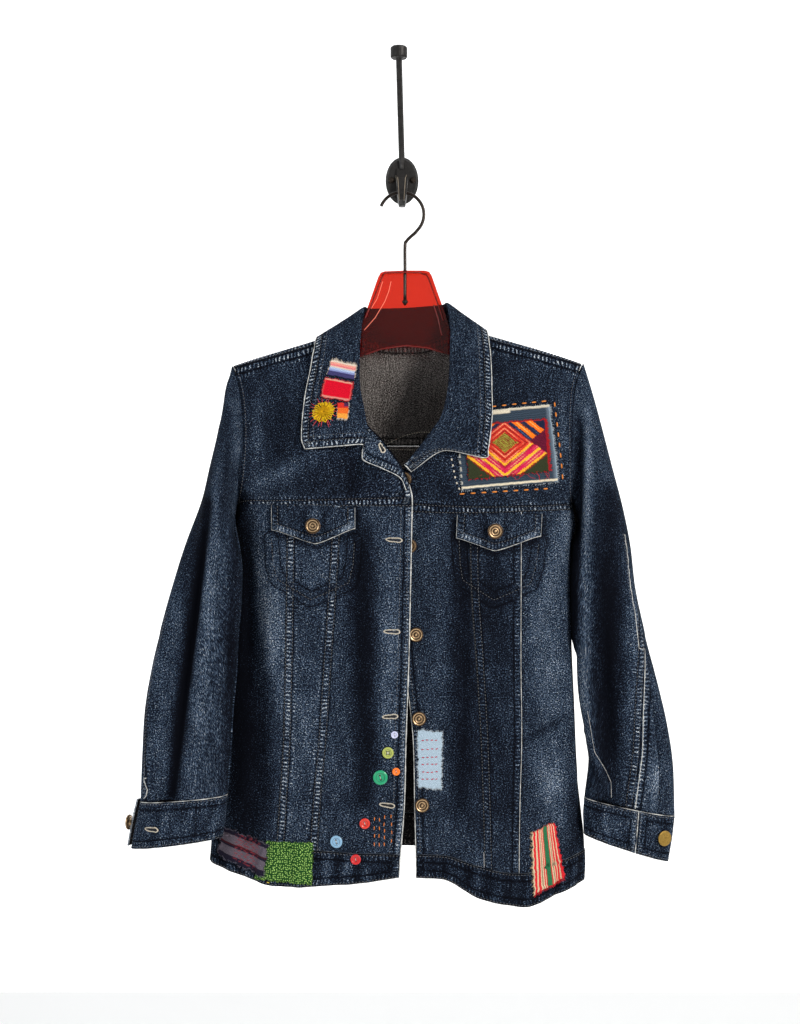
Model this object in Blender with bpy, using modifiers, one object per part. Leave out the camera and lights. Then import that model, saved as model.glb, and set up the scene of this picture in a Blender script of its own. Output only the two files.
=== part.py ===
"""Denim jacket hanging open on a moulded hanger from a cast wall hook.

Sizes in the tables are millimetres. The origin is the centre of the wall plate's back face,
+X is the viewer's right, +Y runs into the wall and +Z is up.
"""

import math
from collections import namedtuple

import bmesh
import bpy
import numpy as np
from mathutils import Matrix, Vector

MM = 0.001

# Driving dimensions.
CLOTH = 1.6
SEAM_GAP = 0.5
SLEEVE_GAP = 1.6
HANGER_PLANE = -55.0
ROUNDNESS = 2.6
RIDGE_RADIUS = 12.0
FRONT_FALL = 150.0
BACK_FALL = 95.0
ARMPIT_Z = -397.0
BACK_YOKE_Z = -328.0
FRONT_OVERLAP = 9.0
PATCH_CLOTH = 1.2
PATCH_LIFT = 2.2
FLAP_LIFT = 2.3
TRIM_GAP = 0.4
SHANK_BUTTON = 17.0
FLAP_BUTTON = 18.0
WIRE = 3.9
PLATE_WIDTH = 40.6
PLATE_HEIGHT = 58.4
PLATE_DEPTH = 4.5
ARM_RADIUS = 3.7

# The jacket's body by height: its two side edges, and how far front and back bulge.
BodyRow = namedtuple("BodyRow", "z left right front back")
BODY = (
    BodyRow(-150, -240, 252, 48, 34),
    BodyRow(-240, -234, 246, 54, 38),
    BodyRow(-330, -216, 226, 60, 41),
    BodyRow(-376, -205, 212, 62, 43),
    BodyRow(-403, -194, 200.5, 62, 44),
    BodyRow(-466, -196, 201, 60, 44),
    BodyRow(-562, -202, 202, 56, 42),
    BodyRow(-632, -208, 205, 54, 40),
    BodyRow(-718, -216, 209, 52, 40),
    BodyRow(-796, -227, 217, 50, 40),
    BodyRow(-880, -231, 217, 50, 38),
)

# The shoulder line, continued across the open neck.
ShoulderRow = namedtuple("ShoulderRow", "x z")
SHOULDER = (
    ShoulderRow(-250, -252),
    ShoulderRow(-205, -235.5),
    ShoulderRow(-107, -205),
    ShoulderRow(-60, -190),
    ShoulderRow(0, -180),
    ShoulderRow(60, -186),
    ShoulderRow(106, -198.6),
    ShoulderRow(218, -233),
    ShoulderRow(260, -250),
)

ArmholeRow = namedtuple("ArmholeRow", "z left right")
ARMHOLE = (
    ArmholeRow(-400, -196, 202.5),
    ArmholeRow(-390, -193, 200.8),
    ArmholeRow(-376, -190.6, 200.3),
    ArmholeRow(-327, -187, 200.3),
    ArmholeRow(-290, -189, 202),
    ArmholeRow(-255, -195, 207),
    ArmholeRow(-230, -204, 217),
)

# Each yoke section runs from a height on the armhole to a point on the front edge or neckline.
YokeRow = namedtuple("YokeRow", "arm_z x z")
LEFT_YOKE = (
    YokeRow(-397, 12, -401),
    YokeRow(-389, 11, -387),
    YokeRow(-364, 2, -361),
    YokeRow(-336, -21, -328),
    YokeRow(-312, -41, -306),
    YokeRow(-290, -52, -280),
    YokeRow(-266, -61, -250),
    YokeRow(-248, -67, -222),
    YokeRow(-240, -71, -200),
)
RIGHT_YOKE = (
    YokeRow(-398, -5, -409),
    YokeRow(-389, -5, -390),
    YokeRow(-366, -3, -367),
    YokeRow(-338, 14, -345),
    YokeRow(-312, 36, -318),
    YokeRow(-290, 55, -285),
    YokeRow(-266, 66, -250),
    YokeRow(-248, 72, -222),
    YokeRow(-239, 77, -196.5),
)

# Seams down the fronts, by height.
SeamRow = namedtuple("SeamRow", "z left_outer left_inner left_edge right_edge right_inner right_outer")
SEAMS = (
    SeamRow(-400, -134, -70, 12, -5, 78, 139),
    SeamRow(-500, -135.5, -76, 10, -2, 80, 139),
    SeamRow(-586, -137, -82, 8, 3, 86, 139),
    SeamRow(-671, -139, -88, 5, 12, 91, 140),
    SeamRow(-750, -144, -95, 3, 14, 94, 138),
    SeamRow(-830, -149, -100, -3, 16, 96, 137),
    SeamRow(-880, -151, -102, -4, 17, 97, 138),
)
BackSeamRow = namedtuple("BackSeamRow", "z left right")
BACK_SEAMS = (
    BackSeamRow(-328, -112, 116),
    BackSeamRow(-450, -92, 96),
    BackSeamRow(-600, -84, 86),
    BackSeamRow(-720, -90, 88),
    BackSeamRow(-840, -100, 96),
)

# Level lines across the two fronts and the back.
LevelRow = namedtuple("LevelRow", "x yoke_seam hem_seam hem")
LEFT_LEVELS = (
    LevelRow(-231, -401, -788, -824),
    LevelRow(-200, -400, -791, -834),
    LevelRow(-149, -399, -798, -847),
    LevelRow(-100, -400, -804, -846),
    LevelRow(-41, -401, -806, -840),
    LevelRow(14, -402, -807, -831.5),
)
RIGHT_LEVELS = (
    LevelRow(-8, -409, -808, -836),
    LevelRow(16, -409, -808, -836),
    LevelRow(51, -410, -811, -840),
    LevelRow(91, -410, -823, -861),
    LevelRow(123, -409, -830, -868),
    LevelRow(144, -408, -832, -872),
    LevelRow(176, -407, -824, -863),
    LevelRow(218, -405, -811, -846),
)
BACK_LEVELS = (
    LevelRow(-231, -328, -788, -824),
    LevelRow(-100, -328, -781, -820),
    LevelRow(3, -328, -777, -817),
    LevelRow(100, -328, -786, -825),
    LevelRow(218, -328, -811, -846),
)

# The top edge of the back yoke: x, and how far in front of (+) or behind (-) the shoulder line.
YokeTopRow = namedtuple("YokeTopRow", "x ahead")
BACK_YOKE_TOP = (
    YokeTopRow(-204, 3),
    YokeTopRow(-150, 5),
    YokeTopRow(-107, 6),
    YokeTopRow(-86, 5),
    YokeTopRow(-72, 3),
    YokeTopRow(-64, -4),
    YokeTopRow(-46, -14),
    YokeTopRow(-22, -25),
    YokeTopRow(3, -28),
    YokeTopRow(28, -25),
    YokeTopRow(52, -14),
    YokeTopRow(70, -4),
    YokeTopRow(78, 3),
    YokeTopRow(92, 5),
    YokeTopRow(110, 6),
    YokeTopRow(160, 5),
    YokeTopRow(217, 3),
)

# Soft folds hanging in the body: where the trough or ridge runs, how wide and how deep it is.
FoldRow = namedtuple("FoldRow", "side top_x top_z bottom_x bottom_z width depth")
FOLDS = (
    FoldRow("front", -165, -450, -178, -790, 14, 7),
    FoldRow("front", -108, -560, -118, -840, 15, -5),
    FoldRow("front", -45, -480, -52, -800, 20, -6),
    FoldRow("front", 50, -470, 55, -800, 17, 6),
    FoldRow("front", 112, -560, 118, -860, 13, -5),
    FoldRow("front", 168, -440, 178, -800, 14, 7),
    FoldRow("front", -150, -250, -165, -390, 16, 4),
    FoldRow("front", 165, -250, 178, -400, 16, 4),
    FoldRow("back", -150, -380, -160, -800, 18, 8),
    FoldRow("back", -55, -420, -60, -800, 22, -6),
    FoldRow("back", 40, -400, 45, -800, 20, 7),
    FoldRow("back", 150, -380, 158, -810, 18, 8),
)

# A sleeve ring lies between its outer and inner edges, with a bulge to the front and the back.
# seam is where the back seam crosses it, in degrees from the outer edge towards the front.
SleeveRow = namedtuple(
    "SleeveRow", "outer_x outer_z outer_y inner_x inner_z inner_y front back seam"
)
LEFT_SLEEVE = (
    SleeveRow(-204, -236, -55, -196, -397, -55, 0, 0, -62),
    SleeveRow(-211, -268, -56, -200, -412, -64, 26, 28, -58),
    SleeveRow(-220, -318, -58, -197, -429, -88, 31, 26, -50),
    SleeveRow(-234, -368, -63, -190, -450, -107, 31, 22, -40),
    SleeveRow(-252, -430, -69, -186.5, -480, -112, 31, 20, -28),
    SleeveRow(-267, -482, -75, -187.5, -515, -112, 31, 20, -16),
    SleeveRow(-282, -537, -80, -191, -556, -111, 31, 21, -4),
    SleeveRow(-294, -591, -84, -193, -597, -110, 30, 22, 8),
    SleeveRow(-302, -640, -86, -197, -636, -108, 29, 23, 18),
    SleeveRow(-305, -692, -87, -200, -684, -106, 27, 23, 24),
    SleeveRow(-307, -748, -88, -204, -737, -105, 24, 21, 26),
)
RIGHT_SLEEVE = (
    SleeveRow(217, -234, -55, 202, -397, -55, 0, 0, -62),
    SleeveRow(228, -268, -56, 205.5, -413, -56, 30, 28, -58),
    SleeveRow(239, -312, -57, 206.5, -427, -58, 38, 32, -48),
    SleeveRow(250, -355, -58, 206.5, -447, -60, 41, 34, -34),
    SleeveRow(262, -402, -60, 206, -475, -61, 42, 34, -18),
    SleeveRow(271, -448, -62, 206, -505, -62, 41, 33, 0),
    SleeveRow(277, -500, -64, 207, -540, -63, 40, 32, 18),
    SleeveRow(289, -556, -66, 210, -578, -64, 38, 31, 34),
    SleeveRow(303, -612, -67, 214, -618, -65, 36, 30, 46),
    SleeveRow(314, -660, -68, 218, -655, -66, 33, 28, 54),
    SleeveRow(321, -708, -69, 223, -700, -67, 30, 26, 58),
    SleeveRow(323, -768, -70, 218, -747, -68, 25, 22, 60),
)
# Folds along a sleeve: degrees from the outer edge, the stretch of the length, width and depth.
SleeveFold = namedtuple("SleeveFold", "start_angle end_angle start end width depth")
LEFT_SLEEVE_FOLDS = (
    SleeveFold(55, 68, 0.45, 1.0, 16, 12),
    SleeveFold(100, 110, 0.1, 0.6, 26, 5),
    SleeveFold(250, 262, 0.3, 1.0, 24, 7),
    SleeveFold(310, 300, 0.2, 0.8, 20, 5),
)
RIGHT_SLEEVE_FOLDS = (
    SleeveFold(128, 122, 0.1, 1.0, 20, 10),
    SleeveFold(78, 84, 0.3, 0.9, 22, 5),
    SleeveFold(250, 238, 0.3, 1.0, 24, 7),
    SleeveFold(305, 300, 0.2, 0.8, 20, 5),
)

# Cuffs: the same kind of ring at the bottom edge; the top one is the sleeve's last ring.
CuffRow = namedtuple("CuffRow", "outer_x outer_z outer_y inner_x inner_z inner_y front back")
LEFT_CUFF = (
    CuffRow(-307.5, -748.7, -88, -204.5, -737.7, -105, 24.5, 21),
    CuffRow(-313, -776, -89, -207, -763, -106, 26, 22),
    CuffRow(-318, -803, -90, -210, -786, -107, 25, 21),
)
RIGHT_CUFF = (
    CuffRow(323, -768.7, -70, 217.5, -747.7, -68, 25.5, 22),
    CuffRow(320, -795, -71, 216, -770, -69, 27, 22),
    CuffRow(315, -822, -72, 217, -791, -70, 26, 22),
)

# Collar stations from the left front end, round the back of the neck, to the right front end.
# A height of lift stands for the body's surface there; around turns the folded side outwards.
CollarRow = namedtuple("CollarRow", "around seam fold edge")
COLLAR = (
    CollarRow(0, (-61, None, -322), (-46.5, None, -331), (-113, None, -336)),
    CollarRow(0, (-62, None, -305), (-41, None, -315), (-117.5, None, -322)),
    CollarRow(0, (-64, None, -280), (-45, None, -289), (-117, None, -300)),
    CollarRow(0, (-67, None, -250), (-50, None, -262), (-114, None, -268)),
    CollarRow(10, (-72, None, -222), (-51, None, -232), (-109.5, None, -243)),
    CollarRow(40, (-72, -73, -206), (-50, -78, -200), (-105, -76, -218)),
    CollarRow(90, (-68, -55, -188), (-46, -55, -166), (-99, -54, -198.5)),
    CollarRow(140, (-52, -38, -199), (-38, -38, -164), (-73, -10, -212)),
    CollarRow(180, (3, -29, -206.5), (3, -29, -162), (3, -5.5, -222)),
    CollarRow(220, (58, -38, -196), (46, -38, -160), (80, -10, -210)),
    CollarRow(270, (75, -55, -185), (55, -55, -161), (99, -54, -190.5)),
    CollarRow(320, (79, -74, -204), (58, -78, -196), (104, -76, -214)),
    CollarRow(350, (77, None, -218), (57, None, -226), (105.6, None, -238)),
    CollarRow(360, (73, None, -247), (55.5, None, -253), (105.6, None, -266)),
    CollarRow(360, (66, None, -280), (51.5, None, -280), (105, None, -298)),
    CollarRow(360, (56, None, -308), (45, None, -300), (100, None, -335)),
    CollarRow(360, (44, None, -326), (34, None, -316), (95, None, -346)),
    CollarRow(360, (26, None, -343), (20, None, -335), (52, None, -337)),
    CollarRow(360, (8, None, -356), (3, None, -355), (10, None, -362)),
)
COLLAR_STEPS = 1.5
SEAM_LIFT = 3.0
FOLD_LIFT = 10.5
LEFT_EDGE_LIFT = 4.6
RIGHT_EDGE_LIFT = 7.4

# The left front's turned corner: from its roll to its free edge.
CornerRow = namedtuple("CornerRow", "roll_x roll_z free_x free_z")
CORNER = (
    CornerRow(-43, -311, -45, -336),
    CornerRow(-33, -320, -46, -347),
    CornerRow(-13, -343, -22, -359),
    CornerRow(1, -364, -2, -369.5),
    CornerRow(9, -383, 5, -384),
)

# What lies on the fronts: four corners in the front view, from the top left, clockwise.
PatchRow = namedtuple("PatchRow", "name corners columns rows lift colour")
PATCHES = (
    PatchRow(
        "chest_frame_patch", ((62, -295), (174, -282), (182.5, -373.5), (69, -384)), 7, 6,
        0.0, (0.10, 0.16, 0.25),
    ),
    PatchRow(
        "chest_textile", ((73, -309), (169, -300), (172.5, -361), (77, -371)), 6, 5,
        2.2, (0.75, 0.16, 0.08),
    ),
    PatchRow(
        "light_denim_patch", ((18, -662.5), (46.2, -666), (45, -732), (19, -729)), 3, 5,
        0.0, (0.28, 0.40, 0.50),
    ),
    PatchRow(
        "striped_patch", ((152, -784), (179.5, -775), (192, -841), (154, -857)), 4, 5,
        1.2, (0.80, 0.10, 0.12),
    ),
    PatchRow(
        "green_patch", ((-159, -795), (-104.5, -794), (-106, -842), (-173, -839)), 5, 4,
        0.8, (0.08, 0.40, 0.08),
    ),
    PatchRow(
        "dark_striped_patch", ((-212, -782), (-157, -799), (-163, -836), (-217, -814)), 6, 4,
        3.2, (0.12, 0.08, 0.14),
    ),
)
FLAPS = (
    ("pocket_flap_left", ((-152, -401), (-54, -404), (-54, -428), (-151.5, -430)), (-100.3, -446)),
    ("pocket_flap_right", ((63.5, -412), (163, -411), (161, -437), (62, -439)), (107.5, -454)),
)
# What lies on the left collar leaf, in the same way.
LeafRow = namedtuple("LeafRow", "name corners columns rows colour")
LEAF_PATCHES = (
    LeafRow(
        "collar_ribbon", ((-83, -229), (-54, -237), (-56, -254), (-87.5, -247)), 4, 3,
        (0.85, 0.6, 0.6),
    ),
    LeafRow(
        "collar_red_patch", ((-90.5, -251), (-57, -258.5), (-61, -280), (-94.5, -274)), 4, 3,
        (0.75, 0.03, 0.05),
    ),
    LeafRow(
        "collar_orange_patch", ((-75, -282), (-62, -282), (-63, -301), (-75, -300)), 3, 3,
        (0.85, 0.2, 0.04),
    ),
)
# The yarn flower's centre in the front view, and its radius.
ROSETTE = (-91, -292.5, 13.0)

ButtonRow = namedtuple("ButtonRow", "name x z diameter lift")
SHANKS = (
    ButtonRow("front_button_1", 2.5, -371, SHANK_BUTTON, 0),
    ButtonRow("front_button_2", 8.5, -448, SHANK_BUTTON, 0),
    ButtonRow("front_button_3", 16, -551, SHANK_BUTTON, 0),
    ButtonRow("front_button_4", 19.4, -649, SHANK_BUTTON, 0),
    ButtonRow("front_button_5", 23, -750, SHANK_BUTTON, 0),
    ButtonRow("flap_button_left", -103, -425, FLAP_BUTTON, 2.4),
    ButtonRow("flap_button_right", 107.4, -431, FLAP_BUTTON, 2.4),
)
SewnButton = namedtuple("SewnButton", "name x z diameter lift holes colour")
SEWN_BUTTONS = (
    SewnButton("button_lavender", -9, -667, 8.4, 0.1, 2, (0.62, 0.58, 0.85)),
    SewnButton("button_lime", -16.5, -688, 13.4, 0.3, 4, (0.45, 0.55, 0.10)),
    SewnButton("button_green", -25.3, -717, 17.3, 0.4, 2, (0.02, 0.42, 0.20)),
    SewnButton("button_orange", -7, -710, 9.0, 0.1, 2, (0.85, 0.25, 0.03)),
    SewnButton("button_red_orange", -43.5, -770.5, 12.3, 0.2, 2, (0.80, 0.10, 0.04)),
    SewnButton("button_blue", -76.5, -793, 14.5, 0.5, 2, (0.30, 0.52, 0.75)),
    SewnButton("button_red", -54, -812.5, 12, -0.3, 2, (0.75, 0.03, 0.04)),
)

DENIM = (0.030, 0.052, 0.095)
BRASS = (0.33, 0.24, 0.12)
IRON = (0.015, 0.014, 0.013)
RED_PLASTIC = (0.80, 0.06, 0.03)

# The hanger's outline, half of it, from the neck's top down the arm and back under.
HANGER_CENTRE = 3.5
HANGER_DEPTH = 11.0
HANGER_RIM = 2.6
HANGER_WEB = 3.0
HANGER_TILT = 1.0
STEM_HOLE = (-112.0, -128.0)
HANGER_HALF = (
    (0, -120), (24, -120.5), (29, -122), (32, -127), (45, -164), (50, -179), (55, -197),
    (66, -209.5), (88, -212), (135, -218.5), (180, -231.5), (192, -239.5), (194, -247),
    (188, -252), (120, -240), (80, -229), (55, -222.5), (28, -213.5), (0, -210),
)

# The hanger's wire: the crook's arc in the front view, and the lower end in the hanger's neck.
CROOK_CENTRE = (-0.5, -52.0)
CROOK_RADIUS = 26.6
CROOK_START = 158.0
CROOK_END = -42.0
WIRE_END = -153.0

# The wall hook: its upper arm leans left as it reaches forward and rises, and ends in a knob.
ARM_START = 14.0
ARM_LEAN = 3.8
ARM_REACH = 80.5
ARM_RISE = 115.0
KNOB_REACH = 85.0
KNOB_PROFILE = ((0, 140), (8.6, 140), (9.9, 138.6), (9.9, 128), (8.8, 126.4), (0, 126.4))
# Its lower prong, from the side: y and z, down its outside to the tip and back along its inside.
PRONG_WIDTH = 9.0
PRONG_SIDE = (
    (-1.5, 14), (-1.5, -24), (-14, -33), (-34, -39.5), (-54, -41.5), (-68, -36.5), (-76, -26),
    (-79, -12), (-73, -11), (-70, -19.5), (-65, -26), (-59, -28.2), (-49, -28.2), (-40, -26.5),
    (-28, -20), (-14, -9), (-8, 4), (-6, 14),
)
SCREWS = (("hook_screw_left", -13.0), ("hook_screw_right", 13.4))
SCREW_PROFILE = ((0, 7.3), (2.2, 7.1), (3.7, 5.9), (3.9, 4.8), (0, 4.8))

# Turned profiles: the share of the button's radius, and the height.
SHANK_PROFILE = (
    (0, 5.0), (0.22, 4.9), (0.50, 4.2), (0.82, 5.0), (1, 4.2),
    (1, 3.1), (0.85, 2.5), (0.40, 2.3), (0.36, 0), (0, 0),
)
SEWN_PROFILE = (
    (0, 1.4), (0.55, 1.4), (0.68, 2.0), (0.88, 2.1), (1, 1.5), (1, 0.6), (0.85, 0), (0, 0),
)

# Each cuff band runs from one angle of its sleeve ring to another, and its end may swing away.
LEFT_CUFF_ENDS = (14, 356)
LEFT_CUFF_SPREAD = (-6, 6)
RIGHT_CUFF_ENDS = (62, 416)
RIGHT_CUFF_SPREAD = (0, 0)
CUFF_BUTTON = 18.0
LEFT_CUFF_BUTTON_ANGLE = 352
RIGHT_CUFF_BUTTON_ANGLE = 46
CORNER_ROLL = 1.2


def smoothstep(t):
    t = min(max(t, 0.0), 1.0)
    return t * t * (3 - 2 * t)


def along(rows, key, column, where):
    """One column of a table at a place between its rows, on a smooth curve through them."""
    keys = [getattr(row, key) for row in rows]
    values = [getattr(row, column) for row in rows]
    if keys[0] > keys[-1]:
        keys.reverse()
        values.reverse()
    where = min(max(where, keys[0]), keys[-1])
    i = min(max(int(np.searchsorted(keys, where)) - 1, 0), len(keys) - 2)
    steps = [(values[k + 1] - values[k]) / (keys[k + 1] - keys[k]) for k in range(len(keys) - 1)]

    def slope(k):
        before = steps[max(k - 1, 0)]
        after = steps[min(k, len(steps) - 1)]
        return 0.0 if before * after < 0 else (before + after) / 2

    span = keys[i + 1] - keys[i]
    t = (where - keys[i]) / span
    rise = values[i + 1] - values[i]
    return (
        values[i] + rise * smoothstep(t)
        + span * (slope(i) * (t ** 3 - 2 * t * t + t) + slope(i + 1) * (t ** 3 - t * t))
    )


def numbered(rows):
    """The same rows with their place in the table as a first column, mark."""
    marked_row = namedtuple("marked_row", ("mark",) + rows[0]._fields)
    return [marked_row(mark, *row) for mark, row in enumerate(rows)]


def body_edges(z):
    return along(BODY, "z", "left", z), along(BODY, "z", "right", z)


def shoulder_z(x):
    return along(SHOULDER, "x", "z", x)


def roundness(x, z):
    """How full the body's section is at x: 1 in the middle, 0 at its side edges."""
    left, right = body_edges(z)
    share = (2 * x - left - right) / (right - left)
    return max(1 - abs(share) ** ROUNDNESS, 0.0) ** (1 / ROUNDNESS)


def x_at_angle(angle, z):
    """x on the section at height z; -90 degrees is its left edge and 90 its right edge."""
    left, right = body_edges(z)
    sine = math.sin(math.radians(angle))
    share = math.copysign(abs(sine) ** (2 / ROUNDNESS), sine)
    return (left + right) / 2 + share * (right - left) / 2


def angle_at_x(x, z):
    left, right = body_edges(z)
    share = min(max((2 * x - left - right) / (right - left), -1.0), 1.0)
    return math.degrees(math.asin(math.copysign(abs(share) ** (ROUNDNESS / 2), share)))


def fall(drop, length, quick):
    """How far the cloth has come away from the hanger this far below the shoulder line."""
    ridge = min(max(drop, 0.0), RIDGE_RADIUS) / RIDGE_RADIUS
    return quick * math.sqrt(1 - (1 - ridge) ** 2) + (1 - quick) * smoothstep(drop / length)


def fold_offset(side, x, z):
    depth = 0.0
    for fold in FOLDS:
        if fold.side != side:
            continue
        t = (fold.top_z - z) / (fold.top_z - fold.bottom_z)
        middle = fold.top_x + (fold.bottom_x - fold.top_x) * t
        ends = smoothstep(t / 0.25) * (1 if t > 1 else smoothstep((1.35 - t) / 0.3))
        depth += fold.depth * ends * math.exp(-(((x - middle) / fold.width) ** 2))
    return depth


def front_y(x, z):
    bulge = along(BODY, "z", "front", z) * roundness(x, z)
    bulge *= fall(shoulder_z(x) - z, FRONT_FALL, 0.22)
    return HANGER_PLANE - bulge + fold_offset("front", x, z) * min(bulge / 30, 1.0)


def back_y(x, z):
    bulge = along(BODY, "z", "back", z) * roundness(x, z)
    bulge *= fall(shoulder_z(x) - z, BACK_FALL, 0.32)
    return HANGER_PLANE + bulge - fold_offset("back", x, z) * min(bulge / 30, 1.0)


def overlap_lift(x, z):
    """The left front passes over the right one and its buttons near the centre."""
    ease = 1 - 0.35 * smoothstep((-560 - z) / 120)
    return FRONT_OVERLAP * ease * smoothstep((x + 62) / 56) * smoothstep((-300 - z) / 60)


def left_front_y(x, z):
    return front_y(x, z) - overlap_lift(x, z)


def surface_normal(surface, x, z):
    """Outward normal of a front surface, towards the viewer."""
    step = 2.0
    across = Vector((2 * step, surface(x + step, z) - surface(x - step, z), 0))
    down = Vector((0, surface(x, z - step) - surface(x, z + step), -2 * step))
    normal = down.cross(across)
    return normal.normalized() if normal.y < 0 else -normal.normalized()


def on_front(x, z, lift):
    surface = left_front_y if x < 12 + (z + 400) * 0.035 else front_y
    normal = surface_normal(surface, x, z)
    return Vector((x, surface(x, z), z)) + normal * lift


def material(name, colour, roughness_value=0.8, metallic=0.0, alpha=1.0):
    found = bpy.data.materials.get(name)
    if found:
        return found
    made = bpy.data.materials.new(name)
    made.use_nodes = True
    shader = made.node_tree.nodes["Principled BSDF"]
    shader.inputs["Base Color"].default_value = (*colour, 1.0)
    shader.inputs["Roughness"].default_value = roughness_value
    shader.inputs["Metallic"].default_value = metallic
    shader.inputs["Alpha"].default_value = alpha
    made.diffuse_color = (*colour, alpha)
    return made


def collection(name, hidden=False):
    made = bpy.data.collections.new(name)
    bpy.context.scene.collection.children.link(made)
    made.hide_render = hidden
    return made


def new_object(name, mesh, finish, group):
    made = bpy.data.objects.new(name, mesh)
    if finish:
        made.data.materials.append(finish)
    group.objects.link(made)
    return made


def grid_mesh(name, rows, ring=False):
    """A mesh of quads through rows of points in millimetres."""
    shape = bmesh.new()
    corners = [[shape.verts.new(Vector(point) * MM) for point in row] for row in rows]
    for upper, lower in zip(corners, corners[1:]):
        count = len(upper)
        for i in range(count if ring else count - 1):
            j = (i + 1) % count
            shape.faces.new((upper[i], lower[i], lower[j], upper[j]))
    mesh = bpy.data.meshes.new(name)
    shape.to_mesh(mesh)
    shape.free()
    return mesh


def cloth(name, rows, finish, group, thickness=CLOTH, offset=0.0):
    """A panel of cloth: an open surface through the rows, thickened."""
    made = new_object(name, grid_mesh(name, rows), finish, group)
    wall = made.modifiers.new("wall", "SOLIDIFY")
    wall.thickness = thickness * MM
    wall.offset = offset
    wall.use_rim = True
    made.data.shade_smooth()
    made.data.set_sharp_from_angle(angle=math.radians(50))
    return made


def shares(count, power=1.0):
    return [(i / count) ** power for i in range(count + 1)]


def front_panel(name, x_left, x_right, columns, rows, top, bottom, surface, finish, group):
    """A lower front panel between two seams, given as functions of height."""
    sections = []
    half_gap = SEAM_GAP / 2
    for v in shares(rows):
        z_guess = -403 - 403 * v
        ends = []
        for edge in (x_left, x_right):
            x = edge(z_guess)
            z = top(x) + (bottom(x) - top(x)) * v
            ends.append((edge(z), z))
        angles = [angle_at_x(x, z) for x, z in ends]
        section = []
        for u in shares(columns):
            angle = angles[0] + (angles[1] - angles[0]) * u
            z_mean = ends[0][1] + (ends[1][1] - ends[0][1]) * u
            x = x_at_angle(angle, z_mean)
            x += half_gap * (1 - 2 * u)
            z = top(x) - half_gap + (bottom(x) - top(x) + 2 * half_gap) * v
            section.append((x, surface(x, z), z))
        sections.append(section)
    return cloth(name, sections, finish, group)


def make_fronts(finish, group):
    def seam(column):
        return lambda z: along(SEAMS, "z", column, z)

    def side(column):
        return lambda z: along(BODY, "z", column, z)

    def line(levels, column):
        return lambda x: along(levels, "x", column, x)

    left, right = side("left"), side("right")
    plan = (
        ("front_left_side", left, seam("left_outer"), 6, LEFT_LEVELS, front_y),
        ("front_left_middle", seam("left_outer"), seam("left_inner"), 4, LEFT_LEVELS, left_front_y),
        ("front_left_centre", seam("left_inner"), seam("left_edge"), 6, LEFT_LEVELS, left_front_y),
        ("front_right_centre", seam("right_edge"), seam("right_inner"), 6, RIGHT_LEVELS, front_y),
        ("front_right_middle", seam("right_inner"), seam("right_outer"), 4, RIGHT_LEVELS, front_y),
        ("front_right_side", seam("right_outer"), right, 6, RIGHT_LEVELS, front_y),
    )
    for name, x_left, x_right, columns, levels, surface in plan:
        top, bottom = line(levels, "yoke_seam"), line(levels, "hem_seam")
        front_panel(name, x_left, x_right, columns, 12, top, bottom, surface, finish, group)
    bands = (
        ("hem_band_left", left, seam("left_edge"), LEFT_LEVELS, left_front_y),
        ("hem_band_right", seam("right_edge"), right, RIGHT_LEVELS, front_y),
    )
    for name, x_left, x_right, levels, surface in bands:
        top, bottom = line(levels, "hem_seam"), line(levels, "hem")
        front_panel(name, x_left, x_right, 13, 2, top, bottom, surface, finish, group)


def make_yoke(name, rows, side, levels, surface, columns, steps, finish, group):
    """A front yoke, section by section from the yoke seam up to the shoulder seam."""
    sections = []
    marked = numbered(rows)
    for v in shares(steps):
        mark = v * (len(rows) - 1)
        arm_z = along(marked, "mark", "arm_z", mark)
        arm_x = along(ARMHOLE, "z", side, arm_z)
        neck_x = along(marked, "mark", "x", mark)
        neck_z = along(marked, "mark", "z", mark)
        inward = 1 if side == "left" else -1
        start = (arm_x + inward * SEAM_GAP / 2, arm_z)
        angles = angle_at_x(start[0], arm_z), angle_at_x(neck_x, neck_z)
        section = []
        for u in shares(columns):
            angle = angles[0] + (angles[1] - angles[0]) * u
            z_guess = arm_z + (neck_z - arm_z) * u
            x = x_at_angle(angle, z_guess)
            t = (x - start[0]) / (neck_x - start[0])
            z = arm_z + (neck_z - arm_z) * t
            if v == 0:
                z = along(levels, "x", "yoke_seam", x) + SEAM_GAP / 2
            section.append((x, surface(x, z), z))
        sections.append(section if side == "left" else section[::-1])
    return cloth(name, sections[::-1], finish, group)


def make_back_yoke(finish, group, columns=24, wrap=2, steps=8):
    """The back yoke, from the shoulder seams over the shoulder line and down the back."""
    sections = []
    tops = BACK_YOKE_TOP
    for i in range(wrap + steps + 1):
        v = max(i - wrap, 0) / steps
        section = []
        for u in shares(columns):
            x_top = tops[0].x + (tops[-1].x - tops[0].x) * u
            ahead = along(tops, "x", "ahead", x_top)
            left = along(ARMHOLE, "z", "left", BACK_YOKE_Z)
            right = along(ARMHOLE, "z", "right", BACK_YOKE_Z)
            x_low = left + (right - left) * u
            behind = -(shoulder_z(x_low) - BACK_YOKE_Z) + SEAM_GAP / 2
            if ahead > 0:
                w = (ahead - SEAM_GAP) * (1 - i / wrap) if i < wrap else behind * v ** 1.7
            else:
                w = ahead + (behind - ahead) * i / (wrap + steps)
            x = x_top + (x_low - x_top) * v
            z = shoulder_z(x) - abs(w)
            for share, side, end_top, end_low in (
                (1 - u, "left", tops[0].x, left),
                (u, "right", tops[-1].x, right),
            ):
                straight = end_top + (end_low - end_top) * v
                bow = along(ARMHOLE, "z", side, min(z, -236)) - straight
                x += bow * max(share * 2 - 1, 0)
            x += SEAM_GAP / 2 * (1 - 2 * u)
            z = shoulder_z(x) - abs(w)
            section.append((x, front_y(x, z) if w > 0 else back_y(x, z), z))
        sections.append(section[::-1])
    return cloth("back_yoke", sections, finish, group)


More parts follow.
